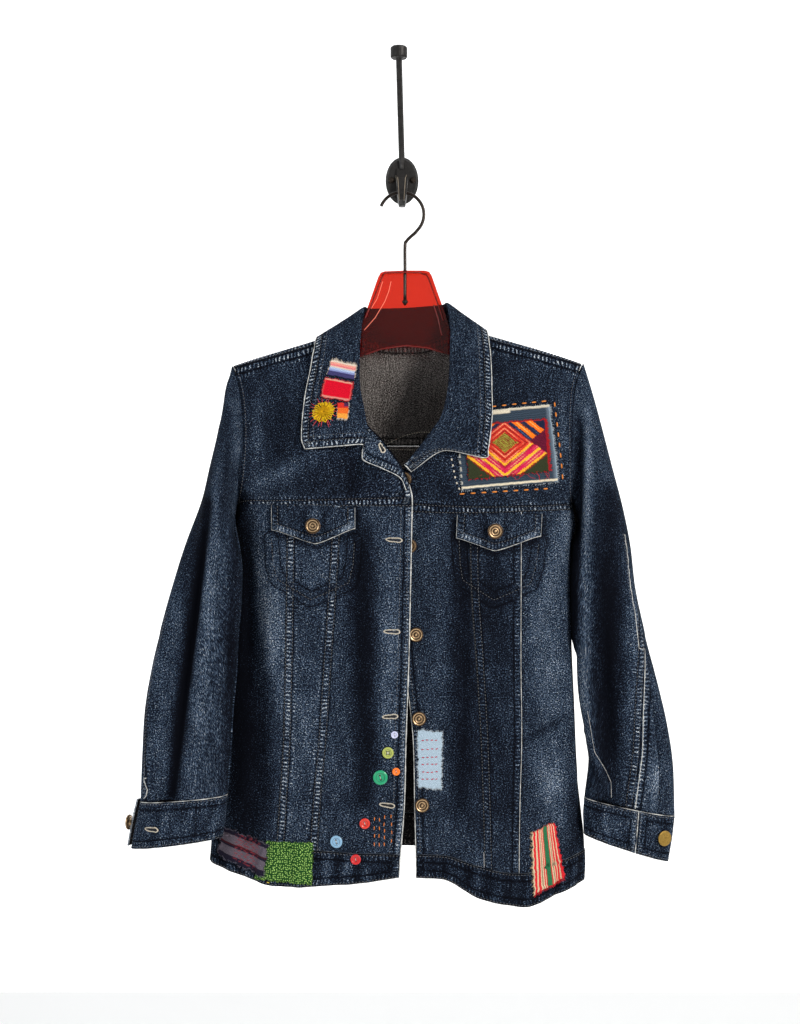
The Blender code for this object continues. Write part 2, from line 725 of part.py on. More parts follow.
def back_panel(name, x_left, x_right, columns, rows, top, bottom, finish, group):
    sections = []
    half_gap = SEAM_GAP / 2
    for v in shares(rows):
        z_guess = BACK_YOKE_Z + (-780 - BACK_YOKE_Z) * v
        ends = []
        for edge in (x_left, x_right):
            x = edge(z_guess)
            z = top(x) + (bottom(x) - top(x)) * v
            ends.append((edge(z), z))
        angles = [angle_at_x(x, z) for x, z in ends]
        section = []
        for u in shares(columns):
            angle = angles[0] + (angles[1] - angles[0]) * u
            z_mean = ends[0][1] + (ends[1][1] - ends[0][1]) * u
            x = x_at_angle(angle, z_mean) + half_gap * (1 - 2 * u)
            z = top(x) - half_gap + (bottom(x) - top(x) + 2 * half_gap) * v
            section.append((x, back_y(x, z), z))
        sections.append(section[::-1])
    return cloth(name, sections, finish, group)


def make_back(finish, group):
    def seam(column):
        return lambda z: along(BACK_SEAMS, "z", column, z)

    def side(column):
        def edge(z):
            return along(ARMHOLE if z > ARMPIT_Z else BODY, "z", column, z)
        return edge

    def top(x):
        return BACK_YOKE_Z

    def bottom(x):
        return along(BACK_LEVELS, "x", "hem_seam", x)

    def hem(x):
        return along(BACK_LEVELS, "x", "hem", x)

    back_panel("back_left_side", side("left"), seam("left"), 6, 15, top, bottom, finish, group)
    back_panel("back_centre", seam("left"), seam("right"), 10, 15, top, bottom, finish, group)
    back_panel("back_right_side", seam("right"), side("right"), 6, 15, top, bottom, finish, group)
    back_panel("hem_band_back", side("left"), side("right"), 26, 2, bottom, hem, finish, group)


def ring_point(ring, angle, swell=0.0):
    """A point of a sleeve ring; 0 degrees is its outer edge, 90 its front and 180 its inner edge."""
    outer = Vector((ring.outer_x, ring.outer_y, ring.outer_z))
    inner = Vector((ring.inner_x, ring.inner_y, ring.inner_z))
    turn = math.radians(angle)
    power = 2 / 2.3
    wide = math.copysign(abs(math.cos(turn)) ** power, math.cos(turn))
    deep = math.copysign(abs(math.sin(turn)) ** power, math.sin(turn))
    depth = ring.front if deep > 0 else ring.back
    point = (outer + inner) / 2 + (outer - inner) / 2 * wide
    point.y -= max(depth + swell, 0) * deep
    return point


def armhole_point(side, angle):
    """Where the armhole is cut in the body, at the same angles as a sleeve ring."""
    shoulder = along(ARMHOLE, "z", side, -236)
    top = shoulder_z(shoulder)
    turn = math.radians(angle)
    z = (top + ARMPIT_Z) / 2 + (top - ARMPIT_Z) / 2 * math.cos(turn)
    x = along(ARMHOLE, "z", side, z)
    y = front_y(x, z) if math.sin(turn) > 0 else back_y(x, z)
    outward = -SLEEVE_GAP if side == "left" else SLEEVE_GAP
    return Vector((x + outward, y, z))


def sleeve_point(side, rows, folds, share, angle):
    marked = numbered(rows)
    mark = share * (len(rows) - 1)
    ring = SleeveRow(*[along(marked, "mark", column, mark) for column in SleeveRow._fields])
    swell = 0.0
    for fold in folds:
        t = (share - fold.start) / (fold.end - fold.start)
        if t < 0 or t > 1:
            continue
        middle = fold.start_angle + (fold.end_angle - fold.start_angle) * t
        away = (angle - middle + 180) % 360 - 180
        fade = smoothstep(t / 0.3) * (smoothstep((1 - t) / 0.25) if fold.end < 1 else 1)
        swell -= fold.depth * fade * math.exp(-((away / fold.width) ** 2))
    point = ring_point(ring, angle, swell)
    if mark < 2:
        point = armhole_point(side, angle).lerp(point, smoothstep(mark / 2))
    return point


def make_sleeve(side, rows, folds, finish, group, steps=17):
    """Two pieces, joined along the inner arm and along the back seam."""
    marked = numbered(rows)
    for piece, columns in (("front", 9), ("back", 9)):
        sections = []
        for share in shares(steps, 1.15):
            seam = along(marked, "mark", "seam", share * (len(rows) - 1))
            start, end = (seam, 180) if piece == "front" else (180, 360 + seam)
            section = []
            for u in shares(columns):
                angle = start + (end - start) * u
                section.append(sleeve_point(side, rows, folds, share, angle))
            for end_index, inner_index in ((0, 1), (-1, -2)):
                way = (section[inner_index] - section[end_index]).normalized()
                section[end_index] = section[end_index] + way * SLEEVE_GAP / 2
            sections.append(section if side == "right" else section[::-1])
        cloth(f"sleeve_{side}_{piece}", sections, finish, group)


def make_cuff(side, rows, start, end, spread, finish, group, columns=22):
    """A cuff band, undone: its two ends pass each other."""
    sections = []
    for ring in rows:
        section = []
        for u in shares(columns):
            angle = start + (end - start) * u
            point = ring_point(ring, angle)
            late = smoothstep((u - 0.78) / 0.22)
            point.x += spread[0] * late
            point.y += spread[1] * late
            section.append(point)
        sections.append(section if side == "right" else section[::-1])
    return cloth(f"cuff_{side}", sections, finish, group)


def collar_sections():
    """Rows of points across the collar: up the stand, over the fold and down the leaf."""
    flat_row = namedtuple("flat_row", "around sx sy sz fx fy fz ex ey ez")

    def placed(point, lift):
        x, y, z = point
        return (x, front_y(x, z) - lift if y is None else y, z)

    marked = numbered([
        flat_row(row.around, *placed(row.seam, SEAM_LIFT), *placed(row.fold, FOLD_LIFT),
                 *placed(row.edge, LEFT_EDGE_LIFT if row.edge[0] < 12 else RIGHT_EDGE_LIFT))
        for row in COLLAR
    ])
    sections = []
    steps = round(COLLAR_STEPS * (len(COLLAR) - 1))
    for i in range(steps + 1):
        values = [along(marked, "mark", column, i / COLLAR_STEPS) for column in flat_row._fields]
        turn = math.radians(values[0])
        seam, fold, edge = (Vector(values[k:k + 3]) for k in (1, 4, 7))
        out = Vector((-math.sin(turn), -math.cos(turn), 0))
        rise = (fold - seam).normalized()
        half = 2.0
        stand_top = fold - out * half - rise * 2.0
        leaf_top = fold + out * half + (edge - fold).normalized() * 1.5
        section = [
            seam,
            seam.lerp(stand_top, 0.55),
            stand_top,
            fold + rise * 0.6,
            leaf_top,
            leaf_top.lerp(edge, 0.3) + out * 0.8,
            leaf_top.lerp(edge, 0.65) + out * 0.8,
            edge,
        ]
        sections.append(section)
    return sections


def leaf_point(x, z, lift):
    """A point on the left collar leaf's outer face, found between its fold and its edge."""
    best = None
    sections = collar_sections()[:10]
    for upper, lower in zip(sections, sections[1:]):
        for k in range(4, 7):
            quad = (upper[k], upper[k + 1], lower[k + 1], lower[k])
            for tri in ((quad[0], quad[1], quad[2]), (quad[0], quad[2], quad[3])):
                (x0, z0), (x1, z1), (x2, z2) = ((p.x, p.z) for p in tri)
                area = (x1 - x0) * (z2 - z0) - (x2 - x0) * (z1 - z0)
                if abs(area) < 1e-9:
                    continue
                b = ((x - x0) * (z2 - z0) - (x2 - x0) * (z - z0)) / area
                c = ((x1 - x0) * (z - z0) - (x - x0) * (z1 - z0)) / area
                if min(b, c, 1 - b - c) < -0.02:
                    continue
                y = tri[0].y * (1 - b - c) + tri[1].y * b + tri[2].y * c
                if best is None or y < best:
                    best = y
    if best is None:
        best = front_y(x, z) - FOLD_LIFT
    return Vector((x, best - lift, z))


def four_sided(corners, columns, rows, point_at):
    """Rows of points across a four-cornered outline in the front view."""
    (ax, az), (bx, bz), (cx, cz), (dx, dz) = corners
    sections = []
    for v in shares(rows):
        section = []
        for u in shares(columns):
            x = (ax * (1 - u) + bx * u) * (1 - v) + (dx * (1 - u) + cx * u) * v
            z = (az * (1 - u) + bz * u) * (1 - v) + (dz * (1 - u) + cz * u) * v
            section.append(point_at(x, z))
        sections.append(section)
    return sections


def make_flap(name, corners, tip, finish, group):
    """A pocket flap with a shallow point in the middle of its lower edge."""
    (ax, az), (bx, bz), (cx, cz), (dx, dz) = corners
    sections = []
    for v in shares(4):
        section = []
        for u in shares(8):
            x = (ax * (1 - u) + bx * u) * (1 - v) + (dx * (1 - u) + cx * u) * v
            side_z = dz * (1 - u) + cz * u
            point = (tip[0] - dx) / (cx - dx)
            near = 1 - abs(u - point) / (point if u < point else 1 - point)
            low = side_z + (tip[1] - side_z) * smoothstep(near) ** 0.9
            z = (az * (1 - u) + bz * u) * (1 - v) + low * v
            section.append(on_front(x, z, FLAP_LIFT + 0.8 * v))
        sections.append(section)
    return cloth(name, sections, finish, group)


def aim(made, centre, normal):
    turn = normal.to_track_quat("Z", "X").to_matrix().to_4x4()
    made.matrix_world = Matrix.Translation(Vector(centre) * MM) @ turn


def turned(name, profile, finish, group, steps=16):
    """A turned solid: its profile is radius and height in millimetres, from the top down its outside."""
    shape = bmesh.new()
    points = [shape.verts.new((r * MM, 0, h * MM)) for r, h in profile]
    for a, b in zip(points, points[1:]):
        shape.edges.new((a, b))
    mesh = bpy.data.meshes.new(name)
    shape.to_mesh(mesh)
    shape.free()
    made = new_object(name, mesh, finish, group)
    spin = made.modifiers.new("turned", "SCREW")
    spin.steps = steps
    spin.render_steps = steps
    spin.use_merge_vertices = True
    spin.merge_threshold = 0.00001
    return made


def shank_button(name, centre, normal, diameter, finish, group, steps=12):
    profile = [(share * diameter / 2, height) for share, height in SHANK_PROFILE]
    made = turned(name, profile, finish, group, steps)
    aim(made, centre, normal)
    return made


def sewn_button(row, group, cutters):
    r = row.diameter / 2
    finish = material(row.name, row.colour, 0.35)
    profile = [(share * r, height) for share, height in SEWN_PROFILE]
    made = turned(row.name, profile, finish, group, 14)
    hole = max(r * 0.13, 0.55)
    reach = r * (0.26 if row.holes == 4 else 0.24)
    for k in range(row.holes):
        angle = math.radians(360 * k / row.holes + (45 if row.holes == 4 else 15))
        shape = bmesh.new()
        bmesh.ops.create_cone(
            shape, cap_ends=True, segments=6, radius1=hole * MM, radius2=hole * MM, depth=8 * MM
        )
        mesh = bpy.data.meshes.new(f"{row.name}_hole_{k}")
        shape.to_mesh(mesh)
        shape.free()
        cutter = new_object(mesh.name, mesh, None, cutters)
        cutter.parent = made
        cutter.location = (reach * math.cos(angle) * MM, reach * math.sin(angle) * MM, 0)
        as_cutter(cutter)
        cut = made.modifiers.new(f"hole_{k}", "BOOLEAN")
        cut.object = cutter
        cut.operation = "DIFFERENCE"
    normal = surface_normal(left_front_y, row.x, row.z)
    aim(made, on_front(row.x, row.z, CLOTH / 2 + TRIM_GAP + row.lift), normal)
    return made


def as_cutter(made):
    made.hide_render = True
    made.display_type = "WIRE"


def make_rosette(group):
    """A yarn flower: a low mound with ten lobes round its rim."""
    x, z, radius = ROSETTE
    finish = material("rosette", (0.80, 0.55, 0.02), 0.9)
    rings = ((1.0, 0.6), (1.0, 2.2), (0.72, 3.8), (0.42, 4.2), (0.12, 3.4))
    shape = bmesh.new()
    count = 20
    corners = []
    for share, height in ((1.0, 0.0),) + rings:
        ring = []
        for k in range(count):
            angle = 2 * math.pi * k / count
            lobe = 1 + 0.10 * math.cos(10 * angle) * share
            reach = radius * share * lobe
            point = leaf_point(
                x + reach * math.cos(angle), z + reach * math.sin(angle), CLOTH / 2 + 0.6 + height
            )
            ring.append(shape.verts.new(point * MM))
        corners.append(ring)
    for lower, upper in zip(corners, corners[1:]):
        for k in range(count):
            j = (k + 1) % count
            shape.faces.new((lower[k], lower[j], upper[j], upper[k]))
    shape.faces.new(corners[0][::-1])
    shape.faces.new(corners[-1])
    bmesh.ops.recalc_face_normals(shape, faces=shape.faces)
    mesh = bpy.data.meshes.new("rosette")
    shape.to_mesh(mesh)
    shape.free()
    return new_object("rosette", mesh, finish, group)


def tube(name, points, radius, finish, group, resolution=2):
    """A round wire through points in millimetres, made a closed mesh."""
    curve = bpy.data.curves.new(name, "CURVE")
    curve.dimensions = "3D"
    curve.bevel_depth = radius * MM
    curve.bevel_resolution = resolution
    curve.use_fill_caps = True
    spline = curve.splines.new("POLY")
    spline.points.add(len(points) - 1)
    for target, point in zip(spline.points, points):
        target.co = (*(Vector(point) * MM), 1)
    made = bpy.data.objects.new(name, curve)
    group.objects.link(made)
    if finish:
        curve.materials.append(finish)
    return made


def meshed(made):
    """The same object with its evaluated shape as a mesh with welded caps."""
    graph = bpy.context.evaluated_depsgraph_get()
    graph.update()
    mesh = bpy.data.meshes.new_from_object(made.evaluated_get(graph))
    name = made.name
    group = made.users_collection[0]
    place = made.matrix_world.copy()
    bpy.data.objects.remove(made)
    shape = bmesh.new()
    shape.from_mesh(mesh)
    bmesh.ops.remove_doubles(shape, verts=shape.verts, dist=0.00001)
    bmesh.ops.recalc_face_normals(shape, faces=shape.faces)
    shape.to_mesh(mesh)
    shape.free()
    mesh.name = name
    again = bpy.data.objects.new(name, mesh)
    again.name = name
    group.objects.link(again)
    again.matrix_world = place
    return again


def arc(centre, radius, start, end, steps, y):
    points = []
    for i in range(steps + 1):
        angle = math.radians(start + (end - start) * i / steps)
        points.append((centre[0] + radius * math.cos(angle), y, centre[1] + radius * math.sin(angle)))
    return points


def outline_slab(name, outline, depth, centre_y, finish, group):
    """A flat outline in the front view, extruded to its depth."""
    curve = bpy.data.curves.new(name, "CURVE")
    curve.dimensions = "2D"
    curve.fill_mode = "BOTH"
    curve.extrude = depth / 2 * MM
    spline = curve.splines.new("POLY")
    spline.points.add(len(outline) - 1)
    for target, (x, z) in zip(spline.points, outline):
        target.co = (x * MM, z * MM, 0, 1)
    spline.use_cyclic_u = True
    made = bpy.data.objects.new(name, curve)
    if finish:
        curve.materials.append(finish)
    group.objects.link(made)
    upright = Matrix.Rotation(math.pi / 2, 4, "X")
    made.matrix_world = Matrix.Translation((0, centre_y * MM, 0)) @ upright
    bpy.context.view_layer.update()
    return meshed(made)


def inset(outline, distance):
    """An outline moved inwards by a distance, corner by corner."""
    moved = []
    count = len(outline)
    area = sum(
        outline[i][0] * outline[(i + 1) % count][1] - outline[(i + 1) % count][0] * outline[i][1]
        for i in range(count)
    )
    way = 1 if area > 0 else -1
    for i in range(count):
        here = Vector(outline[i])
        before = (here - Vector(outline[i - 1])).normalized()
        after = (Vector(outline[(i + 1) % count]) - here).normalized()
        normal = Vector((-(before.y + after.y), before.x + after.x)).normalized() * way
        lean = max(abs(Vector((-before.y, before.x)).dot(normal)), 0.5)
        moved.append(tuple(here + normal * distance / lean))
    return moved


def boolean(made, cutter, operation="DIFFERENCE"):
    step = made.modifiers.new(cutter.name, "BOOLEAN")
    step.object = cutter
    step.operation = operation
    as_cutter(cutter)


def make_hanger(group, cutters):
    finish = material("hanger_plastic", RED_PLASTIC, 0.12, 0.0, 0.75)
    half = [(HANGER_CENTRE + x, z) for x, z in HANGER_HALF]
    other = [(HANGER_CENTRE - x, z) for x, z in HANGER_HALF[1:-1]][::-1]
    lean = math.tan(math.radians(HANGER_TILT))
    outline = [(x, z + (x - HANGER_CENTRE) * lean) for x, z in half + other]
    body = outline_slab("hanger", outline, HANGER_DEPTH, HANGER_PLANE, finish, group)
    pocket = inset(outline, HANGER_RIM)
    hollow = outline_slab("hanger_pocket", pocket, HANGER_DEPTH, HANGER_PLANE - HANGER_WEB, None, cutters)
    boolean(body, hollow)
    top = tube(
        "hanger_stem_hole",
        [(HANGER_CENTRE, HANGER_PLANE, z) for z in STEM_HOLE],
        WIRE / 2 + 0.35, None, cutters,
    )
    boolean(body, meshed(top))
    return body


def make_wire(group):
    finish = material("hanger_wire", (0.03, 0.024, 0.02), 0.35, 0.9)
    y = HANGER_PLANE
    hook = arc(CROOK_CENTRE, CROOK_RADIUS, CROOK_START, CROOK_END, 20, y)
    x0, _, z0 = hook[-1]
    bend = [
        (x0 - 4.0, y, z0 - 4.6), (x0 - 9.0, y, z0 - 9.0), (HANGER_CENTRE + 1.6, y, z0 - 14.5),
        (HANGER_CENTRE, y, z0 - 20), (HANGER_CENTRE, y, STEM_HOLE[0]), (HANGER_CENTRE, y, WIRE_END),
    ]
    made = tube("hanger_wire", hook + bend, WIRE / 2, finish, group)
    return meshed(made)


def make_wall_hook(group, cutters):
    finish = material("wall_hook", IRON, 0.55, 0.6)
    shape = bmesh.new()
    bmesh.ops.create_cone(shape, cap_ends=True, segments=36, radius1=1, radius2=0.86, depth=1)
    for vert in shape.verts:
        across, up, out = vert.co
        vert.co = Vector((across * PLATE_WIDTH / 2, (-out - 0.5) * PLATE_DEPTH, up * PLATE_HEIGHT / 2)) * MM
    bmesh.ops.recalc_face_normals(shape, faces=shape.faces)
    mesh = bpy.data.meshes.new("wall_hook")
    shape.to_mesh(mesh)
    shape.free()
    plate = new_object("wall_hook", mesh, finish, group)

    arm_points = []
    for i in range(11):
        t = i / 10
        y = -PLATE_DEPTH - ARM_REACH * t ** 1.6
        arm_points.append((-ARM_LEAN * t, y, ARM_START + ARM_RISE * t ** 0.95))
    arm = meshed(tube("hook_arm", arm_points, ARM_RADIUS, None, cutters))
    boolean(plate, arm, "UNION")

    knob = turned("hook_knob", KNOB_PROFILE, None, cutters, 20)
    knob.location = (-ARM_LEAN * MM, -KNOB_REACH * MM, 0)
    boolean(plate, knob, "UNION")

    prong = outline_slab("hook_prong", PRONG_SIDE, PRONG_WIDTH, 0, None, cutters)
    for vert in prong.data.vertices:
        vert.co.z *= 0.75 + 0.75 * smoothstep((vert.co.y / MM + 44) / 30)
    prong.matrix_world = Matrix.Rotation(math.pi / 2, 4, "Z") @ prong.matrix_world
    boolean(plate, prong, "UNION")
    return plate


def make_screws(group):
    finish = material("hook_screw", (0.05, 0.045, 0.04), 0.4, 0.9)
    for name, x in SCREWS:
        made = turned(name, SCREW_PROFILE, finish, group, 12)
        made.matrix_world = Matrix.Translation((x * MM, 0, 0)) @ Matrix.Rotation(math.pi / 2, 4, "X")


def main():
    for old in list(bpy.data.objects):
        bpy.data.objects.remove(old)
    group = collection("denim_jacket")
    cutters = collection("cutters", hidden=True)
    denim = material("denim", DENIM, 0.9)
    brass = material("brass", BRASS, 0.4, 0.9)

    make_fronts(denim, group)
    make_yoke("front_yoke_left", LEFT_YOKE, "left", LEFT_LEVELS, left_front_y, 9, 12, denim, group)
    make_yoke("front_yoke_right", RIGHT_YOKE, "right", RIGHT_LEVELS, front_y, 9, 12, denim, group)
    make_back_yoke(denim, group)
    make_back(denim, group)
    make_sleeve("left", LEFT_SLEEVE, LEFT_SLEEVE_FOLDS, denim, group)
    make_sleeve("right", RIGHT_SLEEVE, RIGHT_SLEEVE_FOLDS, denim, group)
    make_cuff("left", LEFT_CUFF, *LEFT_CUFF_ENDS, LEFT_CUFF_SPREAD, denim, group)
    make_cuff("right", RIGHT_CUFF, *RIGHT_CUFF_ENDS, RIGHT_CUFF_SPREAD, denim, group)
    cloth("collar", collar_sections(), denim, group)

    corner = []
    for row in CORNER:
        section = []
        for u in shares(3):
            x = row.roll_x + (row.free_x - row.roll_x) * u
            z = row.roll_z + (row.free_z - row.roll_z) * u
            lift = FLAP_LIFT + CORNER_ROLL * math.sin(math.pi * u)
            normal = surface_normal(left_front_y, x, z)
            section.append(Vector((x, left_front_y(x, z), z)) + normal * lift)
        corner.append(section)
    cloth("facing_corner", corner, denim, group)

    for name, corners, tip in FLAPS:
        make_flap(name, corners, tip, denim, group)
    for row in PATCHES:
        finish = material(row.name, row.colour, 0.9)
        sections = four_sided(
            row.corners, row.columns, row.rows, lambda x, z: on_front(x, z, PATCH_LIFT + row.lift)
        )
        cloth(row.name, sections, finish, group, PATCH_CLOTH)
    for row in LEAF_PATCHES:
        finish = material(row.name, row.colour, 0.9)
        sections = four_sided(row.corners, row.columns, row.rows, lambda x, z: leaf_point(x, z, PATCH_LIFT))
        cloth(row.name, sections, finish, group, PATCH_CLOTH)
    make_rosette(group)

    for row in SHANKS:
        surface = left_front_y if row.name == "flap_button_left" else front_y
        normal = surface_normal(surface, row.x, row.z)
        centre = Vector((row.x, surface(row.x, row.z), row.z)) + normal * (CLOTH / 2 + TRIM_GAP + row.lift)
        shank_button(row.name, centre, normal, row.diameter, brass, group)
    for name, ring, angle, spread in (
        ("cuff_button_left", LEFT_CUFF[1], LEFT_CUFF_BUTTON_ANGLE, LEFT_CUFF_SPREAD),
        ("cuff_button_right", RIGHT_CUFF[1], RIGHT_CUFF_BUTTON_ANGLE, RIGHT_CUFF_SPREAD),
    ):
        here = ring_point(ring, angle) + Vector((*spread, 0))
        around = ring_point(ring, angle + 4) - ring_point(ring, angle - 4)
        normal = around.cross(Vector((0, 0, 1))).normalized()
        centre = (ring_point(ring, 90) + ring_point(ring, 270)) / 2
        if normal.dot(here - centre) < 0:
            normal = -normal
        shank_button(name, here + normal * (CLOTH / 2 + TRIM_GAP), normal, CUFF_BUTTON, brass, group)
    for row in SEWN_BUTTONS:
        sewn_button(row, group, cutters)

    make_hanger(group, cutters)
    make_wire(group)
    make_wall_hook(group, cutters)
    make_screws(group)


main()
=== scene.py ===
"""Looks of a denim jacket that hangs open on a translucent hanger from a cast wall hook.

Tables and distances are millimetres in the part's own frame: +X is the viewer's right, +Y runs
into the wall and +Z is up. Every piece of cloth is a fine shell on the form of its solid.
"""

import math

import bpy
import numpy as np
from mathutils import Matrix, Vector
from mathutils.bvhtree import BVHTree

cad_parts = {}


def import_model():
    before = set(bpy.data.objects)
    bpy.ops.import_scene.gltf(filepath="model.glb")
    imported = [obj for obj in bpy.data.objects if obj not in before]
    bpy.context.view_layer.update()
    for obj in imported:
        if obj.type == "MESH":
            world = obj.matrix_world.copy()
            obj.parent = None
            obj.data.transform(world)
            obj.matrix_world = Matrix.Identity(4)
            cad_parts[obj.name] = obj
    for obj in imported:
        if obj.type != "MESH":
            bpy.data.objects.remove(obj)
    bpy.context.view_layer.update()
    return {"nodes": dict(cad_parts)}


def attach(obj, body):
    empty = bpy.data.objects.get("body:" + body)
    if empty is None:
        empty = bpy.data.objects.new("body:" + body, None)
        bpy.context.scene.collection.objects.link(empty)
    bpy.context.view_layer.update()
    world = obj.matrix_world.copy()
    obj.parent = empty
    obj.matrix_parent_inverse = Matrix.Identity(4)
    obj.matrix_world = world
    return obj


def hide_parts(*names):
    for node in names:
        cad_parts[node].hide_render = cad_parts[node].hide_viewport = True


MM = 0.001
FAR = 1e9
RNG = np.random.default_rng(7)

CLOTH = 1.6
SEAM_GAP = 0.3
SLEEVE_GAP = 0.8
HANGER_PLANE = -55.0
ROUNDNESS, SLEEVE_ROUNDNESS = 2.6, 2.3
RIDGE_RADIUS = 12.0
# Below the shoulder line: the height over which the cloth leaves the hanger, and the share of
# this that it does at once.
FRONT_FALL, BACK_FALL = (150.0, 0.22), (95.0, 0.32)
ARMPIT_Z = -397.0
ARM_TOP_Z = -236
BACK_YOKE_Z = -328.0
FRONT_OVERLAP = 9.0
BAND_CLOTH = 2.0
FRAY_RADIUS, FRAY_SPREAD = 0.22, 0.5
# Where a line of sight starts, and the depth at which a miss looks for the nearest place.
VIEWER_Y, NEAR_Y = -400.0, -110.0
# Where a panel's first guess of its heights starts, and how far it falls.
FRONT_GUESS, BACK_GUESS = (-403, -403), (-328, -452)

CAMERA_PLACE = (-0.0025, -1.9, -0.4088)
LENS = 54.09

# Sewing.
STITCH_PITCH = 3.9
STITCH_LENGTH = 2.6
ROPE_PITCH = 4.6
FAR_FROM_SEAM = 60.0
# The denim's wash: its base, and how much each thing lightens (+) or darkens (-) it.
WASH_BASE, WASH_GRAIN, WASH_SLUB, WASH_CLOUD = -1.70, 3.15, 0.42, 0.40
# The shadow beside a seam and the dark furrow at it are painted shade.
SEAM_SHADOW, FURROW_SHADE, WASH_ROPE = -0.09, -0.30, 0.55
# Distances from a seam: the two rows of pale bars, the furrow between them, and the shadow.
INNER_ROW, OUTER_ROW, FURROW, SHADOW = (2.2, 7.6), (11.0, 14.5), (8.7, 9.7), (9.5, 16.0)
# Painted shade: between these heights in metres the inside darkens by this much.
INSIDE_DARK, INSIDE_LIGHT = (-0.62, -0.46), -0.55
# How wide a turned seam allowance is, and how far it lifts the cloth.
TURNED_EDGE, TURNED_LIFT = 11.0, 0.55

# How much white shows, and how far from the place it reaches: pale lines, seams and worn edges.
PALE_WEAR, SEAM_WEAR, EDGE_WEAR = (0.35, 1.2), (0.22, 0.9), 0.40
# Painted shade and light: how much a millimetre of crease darkens the cloth, and one of pucker lightens it.
CREASE_SHADE, PUCKER_SHADE = 0.02, 0.16

# Under the arms the body bulges; the right sleeve's inner side lies nearer the body above the elbow.
LEFT_BULGE, RIGHT_BULGE, SLEEVE_NEARER = -6.0, 3.5, 5.5
BULGE_Z, BULGE_SPAN, BULGE_EASE = -422, 19, 34


def table(columns, *rows):
    """Named columns of numbers, in the order of their first column."""
    data = np.array(sorted(rows), float)
    return {name: data[:, i] for i, name in enumerate(columns.split())}


def numbered(columns, *rows):
    """The same, for rows whose order is their key."""
    return table("mark " + columns, *[(mark, *row) for mark, row in enumerate(rows)])


# The jacket's body by height: its two side edges, and how far front and back bulge.
BODY = table(
    "z left right front back",
    (-150, -240, 252, 48, 34), (-240, -234, 246, 54, 38), (-330, -216, 226, 60, 41),
    (-376, -205, 212, 62, 43), (-403, -194, 200.5, 62, 44), (-466, -196, 201, 60, 44),
    (-562, -202, 202, 56, 42), (-632, -208, 205, 54, 40), (-718, -216, 209, 52, 40),
    (-796, -227, 217, 50, 40), (-880, -231, 217, 50, 38),
)
# The shoulder line, continued across the open neck.
SHOULDER = table(
    "x z", (-250, -252), (-205, -235.5), (-107, -205), (-60, -190), (0, -180), (60, -186),
    (106, -198.6), (218, -233), (260, -250),
)
ARMHOLE = table(
    "z left right", (-400, -196, 202.5), (-390, -193, 200.8), (-376, -190.6, 200.3),
    (-327, -187, 200.3), (-290, -189, 202), (-255, -195, 207), (-230, -204, 217),
)
# Each yoke section runs from a height on the armhole to a point on the front edge or neckline.
LEFT_YOKE = numbered(
    "arm_z x z", (-397, 12, -401), (-389, 11, -387), (-364, 2, -361), (-336, -21, -328),
    (-312, -41, -306), (-290, -52, -280), (-266, -61, -250), (-248, -67, -222), (-240, -71, -200),
)
RIGHT_YOKE = numbered(
    "arm_z x z", (-398, -5, -409), (-389, -5, -390), (-366, -3, -367), (-338, 14, -345),
    (-312, 36, -318), (-290, 55, -285), (-266, 66, -250), (-248, 72, -222), (-239, 77, -196.5),
)
# Seams down the fronts and the back, by height.
SEAMS = table(
    "z left_outer left_inner left_edge right_edge right_inner right_outer",
    (-400, -134, -70, 12, -5, 78, 139), (-500, -135.5, -76, 10, -2, 80, 139),
    (-586, -137, -82, 8, 3, 86, 139), (-671, -139, -88, 5, 12, 91, 140),
    (-750, -144, -95, 3, 14, 94, 138), (-830, -149, -100, -3, 16, 96, 137),
    (-880, -151, -102, -4, 17, 97, 138),
)
BACK_SEAMS = table(
    "z left right", (-328, -112, 116), (-450, -92, 96), (-600, -84, 86), (-720, -90, 88),
    (-840, -100, 96),
)
# Level lines across the two fronts and the back.
LEFT_LEVELS = table(
    "x yoke_seam hem_seam hem", (-231, -401, -788, -824), (-200, -400, -791, -834),
    (-149, -399, -798, -847), (-100, -400, -804, -846), (-41, -401, -806, -840),
    (14, -402, -807, -831.5),
)
RIGHT_LEVELS = table(
    "x yoke_seam hem_seam hem", (-8, -409, -808, -836), (16, -409, -808, -836),
    (51, -410, -811, -840), (91, -410, -823, -861), (123, -409, -830, -868),
    (144, -408, -832, -872), (176, -407, -824, -863), (218, -405, -811, -846),
)
BACK_LEVELS = table(
    "x yoke_seam hem_seam hem", (-231, -328, -788, -824), (-100, -328, -781, -820),
    (3, -328, -777, -817), (100, -328, -786, -825), (218, -328, -811, -846),
)
# The top edge of the back yoke: how far in front of (+) or behind (-) the shoulder line.
BACK_YOKE_TOP = table(
    "x ahead", (-204, 3), (-150, 5), (-107, 6), (-86, 5), (-72, 3), (-64, -4), (-46, -14),
    (-22, -25), (3, -28), (28, -25), (52, -14), (70, -4), (78, 3), (92, 5), (110, 6),
    (160, 5), (217, 3),
)
# Main folds of the solids: where a trough or ridge runs, how wide and how deep it is.
FRONT_FOLDS = (
    (-165, -450, -178, -790, 14, 7), (-108, -560, -118, -840, 15, -5),
    (-45, -480, -52, -800, 20, -6), (50, -470, 55, -800, 17, 6), (112, -560, 118, -860, 13, -5),
    (168, -440, 178, -800, 14, 7), (-150, -250, -165, -390, 16, 4), (165, -250, 178, -400, 16, 4),
)
BACK_FOLDS = (
    (-150, -380, -160, -800, 18, 8), (-55, -420, -60, -800, 22, -6), (40, -400, 45, -800, 20, 7),
    (150, -380, 158, -810, 18, 8),
)
